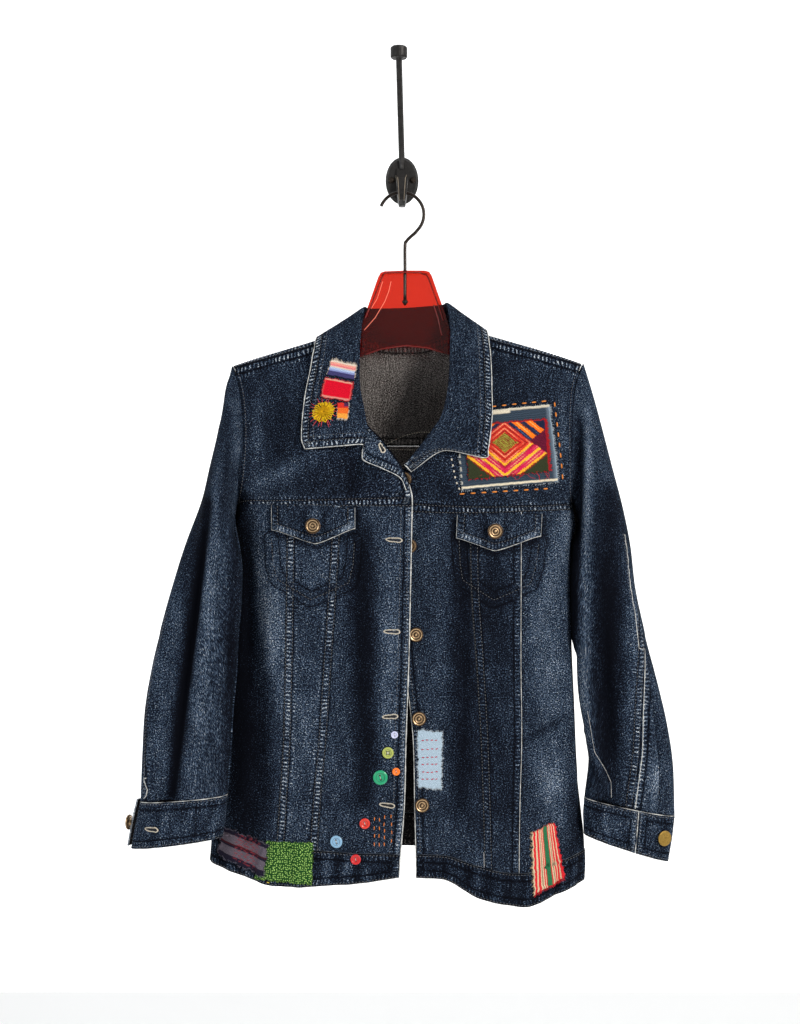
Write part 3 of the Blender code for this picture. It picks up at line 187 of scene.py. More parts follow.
# A sleeve ring lies between its outer and inner edges, with a bulge to the front and the back.
# seam is where the back seam crosses it, in degrees from the outer edge towards the front.
SLEEVE_COLUMNS = "outer_x outer_z outer_y inner_x inner_z inner_y front back seam"
LEFT_SLEEVE = numbered(
    SLEEVE_COLUMNS, (-204, -236, -55, -196, -397, -55, 0, 0, -62),
    (-211, -268, -56, -200, -412, -64, 26, 28, -58), (-220, -318, -58, -197, -429, -88, 31, 26, -50),
    (-234, -368, -63, -190, -450, -107, 31, 22, -40), (-252, -430, -69, -186.5, -480, -112, 31, 20, -28),
    (-267, -482, -75, -187.5, -515, -112, 31, 20, -16), (-282, -537, -80, -191, -556, -111, 31, 21, -4),
    (-294, -591, -84, -193, -597, -110, 30, 22, 8), (-302, -640, -86, -197, -636, -108, 29, 23, 18),
    (-305, -692, -87, -200, -684, -106, 27, 23, 24), (-307, -748, -88, -204, -737, -105, 24, 21, 26),
)
RIGHT_SLEEVE = numbered(
    SLEEVE_COLUMNS, (217, -234, -55, 202, -397, -55, 0, 0, -62),
    (228, -268, -56, 205.5, -413, -56, 30, 28, -58), (239, -312, -57, 206.5, -427, -58, 38, 32, -48),
    (250, -355, -58, 206.5, -447, -60, 41, 34, -34), (262, -402, -60, 206, -475, -61, 42, 34, -18),
    (271, -448, -62, 206, -505, -62, 41, 33, 0), (277, -500, -64, 207, -540, -63, 40, 32, 18),
    (289, -556, -66, 210, -578, -64, 38, 31, 34), (303, -612, -67, 214, -618, -65, 36, 30, 46),
    (314, -660, -68, 218, -655, -66, 33, 28, 54), (321, -708, -69, 223, -700, -67, 30, 26, 58),
    (323, -768, -70, 218, -747, -68, 25, 22, 60),
)
# Folds along a sleeve: degrees from the outer edge, the stretch of the length, width and depth.
LEFT_SLEEVE_FOLDS = (
    (55, 68, 0.45, 1.0, 16, 12), (100, 110, 0.1, 0.6, 26, 5), (250, 262, 0.3, 1.0, 24, 7),
    (310, 300, 0.2, 0.8, 20, 5),
)
RIGHT_SLEEVE_FOLDS = (
    (128, 122, 0.1, 1.0, 20, 10), (78, 84, 0.3, 0.9, 22, 5), (250, 238, 0.3, 1.0, 24, 7),
    (305, 300, 0.2, 0.8, 20, 5),
)
CUFF_COLUMNS = "outer_x outer_z outer_y inner_x inner_z inner_y front back"
LEFT_CUFF = numbered(
    CUFF_COLUMNS, (-307.5, -748.7, -88, -204.5, -737.7, -105, 24.5, 21),
    (-313, -776, -89, -207, -763, -106, 26, 22), (-318, -803, -90, -210, -786, -107, 25, 21),
)
RIGHT_CUFF = numbered(
    CUFF_COLUMNS, (323, -768.7, -70, 217.5, -747.7, -68, 25.5, 22),
    (320, -795, -71, 216, -770, -69, 27, 22), (315, -822, -72, 217, -791, -70, 26, 22),
)
# Collar stations from the left front end, round the back of the neck, to the right front end:
# how far round they face, and the stand's seam, the fold and the leaf's edge.
# A missing y is the body's front there, less a lift.
ON_BODY = float("nan")
SEAM_LIFT = 3.0
FOLD_LIFT = 10.5
LEFT_EDGE_LIFT = 4.6
RIGHT_EDGE_LIFT = 7.4
COLLAR = numbered(
    "around seam_x seam_y seam_z fold_x fold_y fold_z edge_x edge_y edge_z",
    (0, -61, ON_BODY, -322, -46.5, ON_BODY, -331, -113, ON_BODY, -336),
    (0, -62, ON_BODY, -305, -41, ON_BODY, -315, -117.5, ON_BODY, -322),
    (0, -64, ON_BODY, -280, -45, ON_BODY, -289, -117, ON_BODY, -300),
    (0, -67, ON_BODY, -250, -50, ON_BODY, -262, -114, ON_BODY, -268),
    (10, -72, ON_BODY, -222, -51, ON_BODY, -232, -109.5, ON_BODY, -243),
    (40, -72, -73, -206, -50, -78, -200, -105, -76, -218),
    (90, -68, -55, -188, -46, -55, -166, -99, -54, -198.5),
    (140, -52, -38, -199, -38, -38, -164, -73, -10, -212),
    (180, 3, -29, -206.5, 3, -29, -162, 3, -5.5, -222),
    (220, 58, -38, -196, 46, -38, -160, 80, -10, -210),
    (270, 75, -55, -185, 55, -55, -161, 99, -54, -190.5),
    (320, 79, -74, -204, 58, -78, -196, 104, -76, -214),
    (350, 77, ON_BODY, -218, 57, ON_BODY, -226, 105.6, ON_BODY, -238),
    (360, 73, ON_BODY, -247, 55.5, ON_BODY, -253, 105.6, ON_BODY, -266),
    (360, 66, ON_BODY, -280, 51.5, ON_BODY, -280, 105, ON_BODY, -298),
    (360, 56, ON_BODY, -308, 45, ON_BODY, -300, 100, ON_BODY, -335),
    (360, 44, ON_BODY, -326, 34, ON_BODY, -316, 95, ON_BODY, -346),
    (360, 26, ON_BODY, -343, 20, ON_BODY, -335, 52, ON_BODY, -337),
    (360, 8, ON_BODY, -356, 3, ON_BODY, -355, 10, ON_BODY, -362),
)
# Creases in the front view: from a place to a place, how wide, and how deep (a ridge is below 0).
FRONT_CREASES = (
    (-170, -465, -138, -651, 10, -3.0), (-163, -616, -163, -779, 10, 3.0),
    (-182, -418, -182, -628, 8, 4.0), (-54, -447, -58, -651, 9, 3.5),
    (-12, -441, -19, -674, 12, -3.0), (-119, -628, -98, -709, 8, -2.0),
    (-128, -669, -103, -698, 5, -1.5), (69, -441, 70, -744, 10, 5.0),
    (88, -558, 126, -680, 8, -2.0), (102, -447, 114, -558, 10, 2.5),
    (198, -406, 149, -558, 9, -3.5), (166, -558, 172, -651, 14, -3.0),
    (141, -677, 191, -653, 5, 2.0), (170, -698, 175, -756, 14, -3.0),
    (207, -733, 205, -814, 8, 3.0), (-93, -337, -180, -386, 9, -3.0),
    (-119, -360, -177, -412, 8, 1.5), (-58, -342, -58, -401, 8, 2.5),
    (44, -360, 67, -406, 9, 2.0), (27, -372, 44, -409, 7, -1.5),
)
BACK_CREASES = (
    (-120, -300, -60, -420, 12, -2.5), (130, -300, 70, -420, 12, -2.5),
    (-30, -430, -36, -640, 12, 2.5), (20, -520, 30, -760, 11, -2.5),
    (-140, -480, -120, -640, 9, -2.5), (150, -470, 128, -620, 9, -2.5),
    (-80, -640, -110, -790, 9, 2.0), (96, -650, 120, -790, 9, 2.0),
    (-10, -250, -40, -330, 9, 1.5), (30, -250, 60, -330, 9, 1.5),
)
LEFT_SLEEVE_CREASES = (
    (-225, -401, -267, -735, 6.5, 10.0), (-210, -313, -240, -733, 8, -4.0),
    (-232, -313, -253, -511, 8, 4.0), (-259, -511, -282, -698, 9, -2.5),
    (-282, -558, -263, -628, 7, 2.0), (-194, -418, -205, -721, 6, 4.0),
    (-208, -255, -194, -348, 6, -3.0),
)
RIGHT_SLEEVE_CREASES = (
    (211, -304, 205, -465, 5, 6.0), (230, -465, 244, -698, 12, 6.0),
    (206, -572, 221, -669, 4, -4.0), (221, -669, 240, -741, 4, -4.5),
    (219, -278, 217, -441, 5, -4.0), (268, -511, 274, -628, 8, -3.0),
    (283, -605, 291, -721, 7, 2.5), (300, -698, 295, -756, 9, -2.5),
)
LEFT_SLEEVE_BACK_CREASES = (
    (-240, -320, -262, -520, 9, 3.0), (-215, -480, -240, -720, 9, -3.0),
    (-280, -560, -290, -730, 7, 3.0), (-250, -560, -232, -640, 7, 2.0),
)
RIGHT_SLEEVE_BACK_CREASES = (
    (240, -330, 262, -520, 9, 3.0), (225, -470, 250, -720, 9, -3.0),
    (285, -560, 300, -740, 7, 3.0), (262, -560, 240, -650, 7, 2.0),
)
# Painted light (+) and painted shade (-) on the cloth, in the same way, with some wash fading among them.
FRONT_LIGHT_AND_FADES = (
    (-175, -455, -140, -640, 14, 0.16), (-168, -616, -170, -790, 20, -0.16),
    (-192, -400, -190, -790, 16, -0.50), (-44, -430, -42, -740, 13, -0.40),
    (-176, -410, -160, -520, 9, 0.09),
    (-151.5, -433, -101, -450, 3.5, -0.25), (-101, -450, -54, -431, 3.5, -0.25),
    (-155, -403, -154, -430, 3, -0.25), (-51, -405, -51, -430, 3, -0.25),
    (62, -442, 107.5, -458, 3.5, -0.25), (107.5, -458, 161, -440, 3.5, -0.25),
    (60, -413, 59, -438, 3, -0.25), (165.5, -412, 164, -437, 3, -0.25),
    (-106, -460, -108, -500, 26, 0.09), (20, -460, 26, -640, 20, -0.05), (2, -450, 0, -560, 10, -0.06),
    (-160, -400, -140, -560, 12, 0.14),
    (-14, -441, -18, -680, 15, 0.10), (-118, -628, -98, -709, 14, 0.10),
    (69, -430, 70, -760, 17, -0.22), (105, -420, 112, -780, 26, -0.20),
    (88, -558, 126, -680, 10, 0.06), (200, -400, 160, -558, 12, 0.10),
    (172, -500, 180, -665, 24, 0.10), (172, -700, 178, -770, 24, 0.13),
    (141, -677, 191, -653, 6, -0.12), (208, -733, 206, -820, 12, -0.14),
    (-93, -337, -176, -386, 14, 0.16), (-60, -380, -160, -290, 34, -0.08),
    (-58, -342, -58, -401, 10, -0.14), (40, -350, 62, -440, 14, -0.10),
    (-128, -560, -122, -800, 12, 0.05), (40, -470, 44, -640, 16, 0.04),
    (30, -700, 40, -800, 26, -0.06), (-60, -700, -60, -800, 24, -0.05),
    (-170, -260, -172, -370, 7, 0.14), (189, -270, 189, -370, 6, 0.14),
    (150, -260, 60, -300, 34, -0.06), (60, -700, 200, -800, 30, -0.05),
)
LEFT_SLEEVE_LIGHT_AND_FADES = (
    (-227, -395, -268, -738, 7, -0.50), (-232, -430, -270, -738, 3.6, -0.50),
    (-209, -330, -243, -745, 12, 0.10),
    (-232, -313, -253, -511, 10, -0.10), (-270, -500, -290, -700, 14, 0.05),
    (-190, -400, -200, -730, 8, -0.24), (-205, -290, -209, -440, 6, -0.22),
    (-216, -250, -236, -400, 16, -0.10),
)
RIGHT_SLEEVE_LIGHT_AND_FADES = (
    (210, -300, 205, -470, 5, -0.22), (242, -390, 239, -745, 15, -0.46),
    (219, -290, 217, -640, 6, 0.18), (204, -425, 203, -572, 5, -0.60), (212, -572, 225, -685, 3.5, 0.18),
    (226, -690, 246, -742, 3.5, 0.16), (266, -500, 272, -640, 10, 0.07),
    (300, -690, 298, -756, 12, 0.14), (262, -300, 268, -440, 16, -0.08),
    (306, -560, 316, -750, 11, 0.15), (252, -470, 262, -640, 12, -0.06),
)
BACK_LIGHT_AND_FADES = (
    (-120, -300, -60, -420, 20, 0.10), (130, -300, 70, -420, 20, 0.10),
    (-30, -430, -36, -640, 20, -0.12), (20, -520, 30, -760, 20, 0.07),
    (-150, -480, -150, -700, 22, -0.10), (160, -470, 160, -700, 22, -0.10),
    (-90, -620, -110, -790, 22, 0.08), (96, -650, 120, -790, 22, 0.08),
)
# The left front's turned corner: from its roll to its free edge.
CORNER = numbered(
    "roll_x roll_z free_x free_z", (-43, -311, -45, -336), (-33, -320, -46, -347),
    (-13, -343, -22, -359), (1, -364, -2, -369.5), (9, -383, 5, -384),
)


# Topstitched pocket outlines below the flaps, in the front view.
LEFT_POCKET = (
    (-153, -440), (-151, -470), (-146, -487), (-106.5, -511), (-62, -491), (-57, -470), (-55.2, -442.5),
)
RIGHT_POCKET = (
    (66.1, -441.4), (67.5, -470), (70.5, -488), (107, -511.5), (150, -493), (156.5, -472), (160.3, -442.5),
)
# Flaps: their corners from the top left clockwise, and the point of the lower edge.
FLAPS = (
    ("pocket_flap_left", ((-152, -401), (-54, -404), (-54, -428), (-151.5, -430)), (-100.3, -446)),
    ("pocket_flap_right", ((63.5, -412), (163, -411), (161, -437), (62, -439)), (107.5, -454)),
)
# Patches: their corners from the top left clockwise.
PATCH_CORNERS = {
    "chest_frame_patch": ((62, -295), (174, -282), (182.5, -373.5), (69, -384)),
    "chest_textile": ((73, -309), (169, -300), (172.5, -361), (77, -371)),
    "light_denim_patch": ((18, -662.5), (46.2, -666), (45, -732), (19, -729)),
    "striped_patch": ((152, -784), (179.5, -775), (192, -841), (154, -857)),
    "green_patch": ((-159, -795), (-104.5, -794), (-106, -842), (-173, -839)),
    "dark_striped_patch": ((-212, -782), (-157, -799), (-163, -836), (-217, -814)),
    "collar_ribbon": ((-83, -229), (-54, -237), (-56, -254), (-87.5, -247)),
    "collar_red_patch": ((-90.5, -251), (-57, -258.5), (-61, -280), (-94.5, -274)),
    "collar_orange_patch": ((-75, -282), (-62, -282), (-63, -301), (-75, -300)),
}
# Gathers of the flaps, beside their buttonholes; then painted highlights (+) and painted shade (-) on the
# flaps.
FLAP_CREASES = (
    (-112, -404, -113, -438, 3.5, 1.2), (-92, -404, -91, -436, 3.5, 1.2),
    (96, -413, 97, -446, 3.5, 1.2), (119, -413, 119, -446, 3.5, 1.2),
)
FLAP_LIGHT_AND_SHADE = (
    (-148, -426, -128, -435, 6, 0.34), (-70, -432, -58, -424, 6, 0.34), (-103, -406, -101, -416, 7, 0.10),
    (-113, -404, -114, -436, 3, -0.16), (-91, -404, -90, -436, 3, -0.16),
    (66, -434, 88, -444, 6, 0.32), (140, -444, 157, -436, 6, 0.30), (108, -414, 108, -420, 7, 0.10),
    (96, -413, 96, -446, 3, -0.16), (120, -413, 120, -446, 3, -0.16),
)
PATCH_CLOTH = 1.2
# The rosette's x, z and radius.
ROSETTE = (-91, -292.5, 14.4)
# Metal buttons: x, z and diameter.
SHANKS = (
    ("front_button_1", 2.5, -371, 17), ("front_button_2", 8.5, -448, 17),
    ("front_button_3", 16, -551, 17), ("front_button_4", 19.4, -649, 17),
    ("front_button_5", 23, -750, 17), ("flap_button_left", -103, -425, 18),
    ("flap_button_right", 107.4, -431, 18),
)
CUFF_BUTTON = 18
# A button's turned profile: its share of the radius, and its height.
SHANK_PROFILE = (
    (0, 5.0), (0.10, 5.0), (0.15, 4.75), (0.20, 4.85), (0.27, 4.45), (0.33, 4.05), (0.42, 4.0),
    (0.50, 4.1), (0.55, 4.45), (0.60, 4.55), (0.65, 4.3), (0.71, 4.35), (0.77, 4.8), (0.84, 5.0),
    (0.91, 4.95), (0.97, 4.65), (1, 4.15), (1, 3.3), (0.96, 2.8), (0.85, 2.5), (0.40, 2.3), (0.36, 0),
)
FLAT_PROFILE = (
    (0, 4.6), (0.5, 4.62), (0.86, 4.7), (0.93, 4.8), (0.98, 4.6), (1, 4.2), (1, 3.3), (0.96, 2.8),
    (0.85, 2.5), (0.40, 2.3), (0.36, 0),
)
# Sewn buttons: x, z, diameter, how many holes, and colour.
SEWN_BUTTONS = (
    ("button_lavender", -9, -667, 8.4, 2, (0.50, 0.52, 0.70)),
    ("button_lime", -16.5, -688, 13.4, 4, (0.33, 0.37, 0.075)),
    ("button_green", -25.3, -717, 17.0, 2, (0.005, 0.27, 0.12)),
    ("button_orange", -7, -710, 9.0, 2, (0.90, 0.17, 0.004)),
    ("button_red_orange", -43.5, -770.5, 12.3, 2, (0.58, 0.022, 0.008)),
    ("button_blue", -76.5, -793, 14.5, 2, (0.20, 0.36, 0.52)),
    ("button_red", -54, -812.5, 12, 2, (0.54, 0.005, 0.007)),
)
SEWN_PROFILE = (
    (0, 1.25), (0.40, 1.28), (0.52, 1.4), (0.60, 1.75), (0.68, 2.05), (0.80, 2.15), (0.90, 2.05),
    (0.97, 1.7), (1, 1.3), (1, 0.7), (0.95, 0.35), (0.85, 0.1), (0, 0.1),
)
HOLE_STITCHES = 72
# Buttonholes: x, z, length, and how many degrees they lean.
BUTTONHOLES = (
    (-9.5, -441, 20, 4), (-12, -547, 20, 2), (-14, -646, 19, -3), (-17.5, -749.5, 19, 8),
)
CORNER_BUTTONHOLE = (-23.5, -335, 12, 62)
CUFF_BUTTONHOLE = (-290.5, -777, 17, 2)
HANGER_CENTRE = 3.5
# Lines on the face of the hanger: painted highlights where its moulded ribs catch the light, and painted
# shade along its rim.
HANGER_HIGHLIGHTS = (
    ((-13.3, -132), (-16, -144), (-20.9, -156.4), (-32.4, -175.6), (-46, -191)),
    ((-23.3, -132), (-30, -152.8), (-37.8, -165.7)),
    ((-14, -213), (-2.5, -212), (8, -212.6)),
)
HANGER_RIM_SHADE_LINES = (
    ((-44, -177), (-38, -163), (-24.5, -128), (-22, -123.6), (-17, -122.4), (22, -122.4), (29, -124),
     (32, -129), (45, -165), (50, -181)),
    ((-44, -221), (-26.4, -215.6), (-2.5, -212.6), (27.4, -215), (50, -220.5)),
    ((38, -160), (43, -176), (48, -197)),
)
# The rib of the wall hook, with painted highlights along its two edges.
HOOK_LINES = (
    ((-7.6, 6.0), (-4.8, -17), (-3.4, -38)), ((5.3, 6.0), (3.6, -17), (2.2, -38)),
)
WIRE = 3.9
# The crook of the hanger's wire: its centre and its radius.
CROOK = (-0.5, -52, 26.6)

RIGHT_PIECES = ("front_right_centre", "front_right_middle", "hem_band_right", "front_yoke_right")
FRONT_PIECES = (
    "front_left_side", "front_left_middle", "front_left_centre", "front_right_centre",
    "front_right_middle", "front_right_side", "hem_band_left", "hem_band_right", "front_yoke_left",
    "front_yoke_right",
)


def smoothstep(t):
    t = np.clip(t, 0.0, 1.0)
    return t * t * (3 - 2 * t)


def along(rows, column, where):
    """One column of a table at places between its rows, on a smooth curve through them."""
    keys = next(iter(rows.values()))
    values = rows[column]
    steps = np.diff(values) / np.diff(keys)
    before = np.concatenate((steps[:1], steps))
    after = np.concatenate((steps, steps[-1:]))
    slopes = np.where(before * after < 0, 0.0, (before + after) / 2)
    where = np.clip(where, keys[0], keys[-1])
    i = np.clip(np.searchsorted(keys, where) - 1, 0, len(keys) - 2)
    span = keys[i + 1] - keys[i]
    t = (where - keys[i]) / span
    bend = slopes[i] * (t ** 3 - 2 * t * t + t) + slopes[i + 1] * (t ** 3 - t * t)
    return values[i] + (values[i + 1] - values[i]) * smoothstep(t) + span * bend


def body_share(x, z):
    """Where x lies across the body: -1 at its left edge, 1 at its right edge."""
    left, right = along(BODY, "left", z), along(BODY, "right", z)
    return np.clip((2 * x - left - right) / (right - left), -1, 1)


def roundness(x, z):
    return np.clip(1 - np.abs(body_share(x, z)) ** ROUNDNESS, 0, 1) ** (1 / ROUNDNESS)


def x_at_angle(angle, z):
    """x on the body's section at height z; -90 degrees is its left edge and 90 its right edge."""
    left, right = along(BODY, "left", z), along(BODY, "right", z)
    sine = np.sin(np.radians(angle))
    share = np.sign(sine) * np.abs(sine) ** (2 / ROUNDNESS)
    return (left + right) / 2 + share * (right - left) / 2


def angle_at_x(x, z):
    share = body_share(x, z)
    return np.degrees(np.arcsin(np.sign(share) * np.abs(share) ** (ROUNDNESS / 2)))


def fall(drop, length, quick):
    """How far the cloth has come away from the hanger this far below the shoulder line."""
    ridge = np.clip(drop, 0, RIDGE_RADIUS) / RIDGE_RADIUS
    return quick * np.sqrt(1 - (1 - ridge) ** 2) + (1 - quick) * smoothstep(drop / length)


def fold_offset(folds, x, z):
    depth = 0.0
    for top_x, top_z, bottom_x, bottom_z, width, deep in folds:
        t = (top_z - z) / (top_z - bottom_z)
        middle = top_x + (bottom_x - top_x) * t
        ends = smoothstep(t / 0.25) * np.where(t > 1, 1.0, smoothstep((1.35 - t) / 0.3))
        depth = depth + deep * ends * np.exp(-(((x - middle) / width) ** 2))
    return depth


def front_y(x, z):
    bulge = along(BODY, "front", z) * roundness(x, z)
    bulge = bulge * fall(along(SHOULDER, "z", x) - z, *FRONT_FALL)
    return HANGER_PLANE - bulge + fold_offset(FRONT_FOLDS, x, z) * np.minimum(bulge / 30, 1)


def back_y(x, z):
    bulge = along(BODY, "back", z) * roundness(x, z)
    bulge = bulge * fall(along(SHOULDER, "z", x) - z, *BACK_FALL)
    return HANGER_PLANE + bulge - fold_offset(BACK_FOLDS, x, z) * np.minimum(bulge / 30, 1)


def left_front_y(x, z):
    """The left front passes over the right one and its buttons near the centre."""
    ease = 1 - 0.35 * smoothstep((-560 - z) / 120)
    lift = FRONT_OVERLAP * ease * smoothstep((x + 62) / 56) * smoothstep((-300 - z) / 60)
    return front_y(x, z) - lift


def shares(count):
    return np.linspace(0, 1, count + 1)


def stacked(x, y, z):
    return np.stack(np.broadcast_arrays(x, y, z), axis=-1).astype(float)


def lower_panel(x_left, x_right, top, bottom, surface, columns, rows, guess=FRONT_GUESS):
    """Rows of points on a panel between two seams and two level lines."""
    half = SEAM_GAP / 2
    v = shares(rows)[:, None]
    u = shares(columns)[None, :]
    z_guess = guess[0] + guess[1] * v
    ends = []
    for edge in (x_left, x_right):
        x = edge(z_guess)
        z = top(x) + (bottom(x) - top(x)) * v
        ends.append((edge(z), z))
    angles = [angle_at_x(x, z) for x, z in ends]
    x = x_at_angle(angles[0] + (angles[1] - angles[0]) * u, ends[0][1] + (ends[1][1] - ends[0][1]) * u)
    x = x + half * (1 - 2 * u)
    z = top(x) - half + (bottom(x) - top(x) + 2 * half) * v
    return stacked(x, surface(x, z), z)


def yoke_rows(rows, side, levels, surface, columns, steps):
    """A front yoke, from the shoulder seam down to the yoke seam."""
    v = shares(steps)[:, None]
    u = shares(columns)[None, :]
    mark = v * rows["mark"][-1]
    arm_z = along(rows, "arm_z", mark)
    arm_x = along(ARMHOLE, side, arm_z) + (1 if side == "left" else -1) * SEAM_GAP / 2
    neck_x, neck_z = along(rows, "x", mark), along(rows, "z", mark)
    angles = angle_at_x(arm_x, arm_z), angle_at_x(neck_x, neck_z)
    x = x_at_angle(angles[0] + (angles[1] - angles[0]) * u, arm_z + (neck_z - arm_z) * u)
    z = arm_z + (neck_z - arm_z) * (x - arm_x) / (neck_x - arm_x)
    seam = along(levels, "yoke_seam", x) + SEAM_GAP / 2
    z = z + (seam - z) * smoothstep(1 - v * 9)
    shoulder = along(SHOULDER, "z", x) - along(BACK_YOKE_TOP, "ahead", x) - SEAM_GAP / 2
    z = z + (shoulder - z) * smoothstep(v * 9 - 8)
    points = stacked(x, surface(x, z), z)[::-1]
    return points if side == "left" else points[:, ::-1]


def back_yoke_rows(columns, steps, wrap_share=0.2):
    """The back yoke, from the shoulder seams over the shoulder line and down the back."""
    u = shares(columns)[None, :]
    down = shares(steps)[:, None]
    v = np.clip((down - wrap_share) / (1 - wrap_share), 0, 1)
    first, last = BACK_YOKE_TOP["x"][0], BACK_YOKE_TOP["x"][-1]
    x_top = first + (last - first) * u
    ahead = along(BACK_YOKE_TOP, "ahead", x_top)
    left, right = along(ARMHOLE, "left", BACK_YOKE_Z), along(ARMHOLE, "right", BACK_YOKE_Z)
    x_low = left + (right - left) * u
    behind = BACK_YOKE_Z - along(SHOULDER, "z", x_low) + SEAM_GAP / 2
    over = np.where(down < wrap_share, (ahead - SEAM_GAP) * (1 - down / wrap_share), behind * v ** 1.7)
    evenly = v ** 1.7 + (down - v ** 1.7) * smoothstep(-ahead / 14)
    w = np.where(ahead > 0, over, ahead + (behind - ahead) * evenly)
    x = x_top + (x_low - x_top) * v
    z = along(SHOULDER, "z", x) - np.abs(w)
    for share, side, end_top, end_low in ((1 - u, "left", first, left), (u, "right", last, right)):
        straight = end_top + (end_low - end_top) * v
        x = x + (along(ARMHOLE, side, np.minimum(z, ARM_TOP_Z)) - straight) * np.maximum(share * 2 - 1, 0)
    x = x + SEAM_GAP / 2 * (1 - 2 * u)
    z = along(SHOULDER, "z", x) - np.abs(w)
    return stacked(x, np.where(w > 0, front_y(x, z), back_y(x, z)), z)


def ring_point(ring, angle, swell=0.0):
    """A point of a sleeve ring; 0 degrees is its outer edge, 90 its front and 180 its inner edge."""
    turn = np.radians(angle)
    cosine, sine = np.cos(turn), np.sin(turn)
    wide = np.sign(cosine) * np.abs(cosine) ** (2 / SLEEVE_ROUNDNESS)
    deep = np.sign(sine) * np.abs(sine) ** (2 / SLEEVE_ROUNDNESS)
    depth = np.maximum(np.where(deep > 0, ring["front"], ring["back"]) + swell, 0)
    middle = [(ring["outer_" + k] + ring["inner_" + k]) / 2 for k in "xyz"]
    reach = [(ring["outer_" + k] - ring["inner_" + k]) / 2 * wide for k in "xyz"]
    return stacked(middle[0] + reach[0], middle[1] + reach[1] - depth * deep, middle[2] + reach[2])


def armhole_point(side, angle):
    """Where the armhole is cut in the body, at the same angles as a sleeve ring."""
    top = along(SHOULDER, "z", along(ARMHOLE, side, ARM_TOP_Z))
    turn = np.radians(angle)
    z = (top + ARMPIT_Z) / 2 + (top - ARMPIT_Z) / 2 * np.cos(turn)
    x = along(ARMHOLE, side, z)
    y = np.where(np.sin(turn) > 0, front_y(x, z), back_y(x, z))
    return stacked(x + (-SLEEVE_GAP if side == "left" else SLEEVE_GAP), y, z)


def sleeve_rows(side, piece, columns, steps):
    rows, folds = (LEFT_SLEEVE, LEFT_SLEEVE_FOLDS) if side == "left" else (RIGHT_SLEEVE, RIGHT_SLEEVE_FOLDS)
    share = shares(steps)[:, None]
    u = shares(columns)[None, :]
    mark = share * rows["mark"][-1]
    ring = {name: along(rows, name, mark) for name in rows if name != "mark"}
    seam = ring["seam"]
    angle = seam + (180 - seam) * u if piece == "front" else 180 + (180 + seam) * u
    swell = 0.0
    for start_angle, end_angle, start, end, width, depth in folds:
        t = (share - start) / (end - start)
        away = (angle - start_angle - (end_angle - start_angle) * t + 180) % 360 - 180
        fade = smoothstep(t / 0.3) * (smoothstep((1 - t) / 0.25) if end < 1 else 1.0)
        swell = swell - depth * fade * np.exp(-((away / width) ** 2)) * (t >= 0) * (t <= 1)
    point = ring_point(ring, angle, swell)
    eased = smoothstep(mark / 2)[..., None]
    return armhole_point(side, angle + 0 * share) * (1 - eased) + point * eased


def cuff_rows(side, start, end, spread, columns, steps):
    """A cuff band, undone: its two ends pass each other."""
    rows = LEFT_CUFF if side == "left" else RIGHT_CUFF
    mark = shares(steps)[:, None] * rows["mark"][-1]
    ring = {name: along(rows, name, mark) for name in rows if name != "mark"}
    u = shares(columns)[None, :]
    points = ring_point(ring, start + (end - start) * u)
    late = smoothstep((u - 0.78) / 0.22)
    points[..., 0] += spread[0] * late
    points[..., 1] += spread[1] * late
    return points


def unit(vectors):
    return vectors / np.maximum(np.linalg.norm(vectors, axis=-1, keepdims=True), 1e-9)


def collar_rows(steps, columns):
    """Rows across the collar: up the stand, over the fold and down the leaf."""
    mark = np.linspace(0, COLLAR["mark"][-1], steps + 1)
    placed = dict(COLLAR)
    for part, lift in (("seam", SEAM_LIFT), ("fold", FOLD_LIFT), ("edge", None)):
        x, y, z = (COLLAR[f"{part}_{k}"] for k in "xyz")
        lifted = np.where(x < 12, LEFT_EDGE_LIFT, RIGHT_EDGE_LIFT) if lift is None else lift
        placed[f"{part}_y"] = np.where(np.isnan(y), front_y(x, z) - lifted, y)
    seam, fold, edge = (
        stacked(*[along(placed, f"{part}_{k}", mark) for k in "xyz"]) for part in ("seam", "fold", "edge")
    )
    turn = np.radians(along(COLLAR, "around", mark))
    out = stacked(-np.sin(turn), -np.cos(turn), 0 * turn)
    rise = unit(fold - seam)
    half = 2.0
    stand_top = fold - out * half - rise * 2.0
    leaf_top = fold + out * half + unit(edge - fold) * 1.5
    section = [
        seam, seam * 0.45 + stand_top * 0.55, stand_top, fold + rise * 0.6, leaf_top,
        leaf_top * 0.7 + edge * 0.3 + out * 0.8, leaf_top * 0.35 + edge * 0.65 + out * 0.8, edge,
    ]
    section, at = np.array(section), np.array([0, 0.2, 0.36, 0.42, 0.48, 0.62, 0.82, 1.0])
    points = np.empty((len(mark), columns + 1, 3))
    for k, i in np.ndindex(len(mark), 3):
        points[k, :, i] = along({"at": at, "value": section[:, k, i]}, "value", shares(columns))
    return points


def corner_rows(columns, steps):
    mark = shares(steps)[:, None] * CORNER["mark"][-1]
    u = shares(columns)[None, :]
    x = along(CORNER, "roll_x", mark) * (1 - u) + along(CORNER, "free_x", mark) * u
    z = along(CORNER, "roll_z", mark) * (1 - u) + along(CORNER, "free_z", mark) * u
    lift = 2.4 + 1.2 * np.sin(np.pi * u)
    return stacked(x, left_front_y(x, z) - lift, z)


# Finishes.
def node(tree, kind, inputs=None, **settings):
    made = tree.nodes.new("ShaderNode" + kind)
    for key, value in settings.items():
        setattr(made, key, value)
    for key, value in (inputs or {}).items():
        if isinstance(value, bpy.types.NodeSocket):
            tree.links.new(value, made.inputs[key])
        else:
            made.inputs[key].default_value = value
    return made


def calc(tree, operation, first, second=0.0, third=0.0):
    return node(tree, "Math", {0: first, 1: second, 2: third}, operation=operation).outputs[0]


def mapped(tree, value, low, high, to_low=0.0, to_high=1.0):
    made = node(tree, "MapRange", {0: value, 1: low, 2: high, 3: to_low, 4: to_high})
    made.interpolation_type = "SMOOTHSTEP"
    return made.outputs[0]


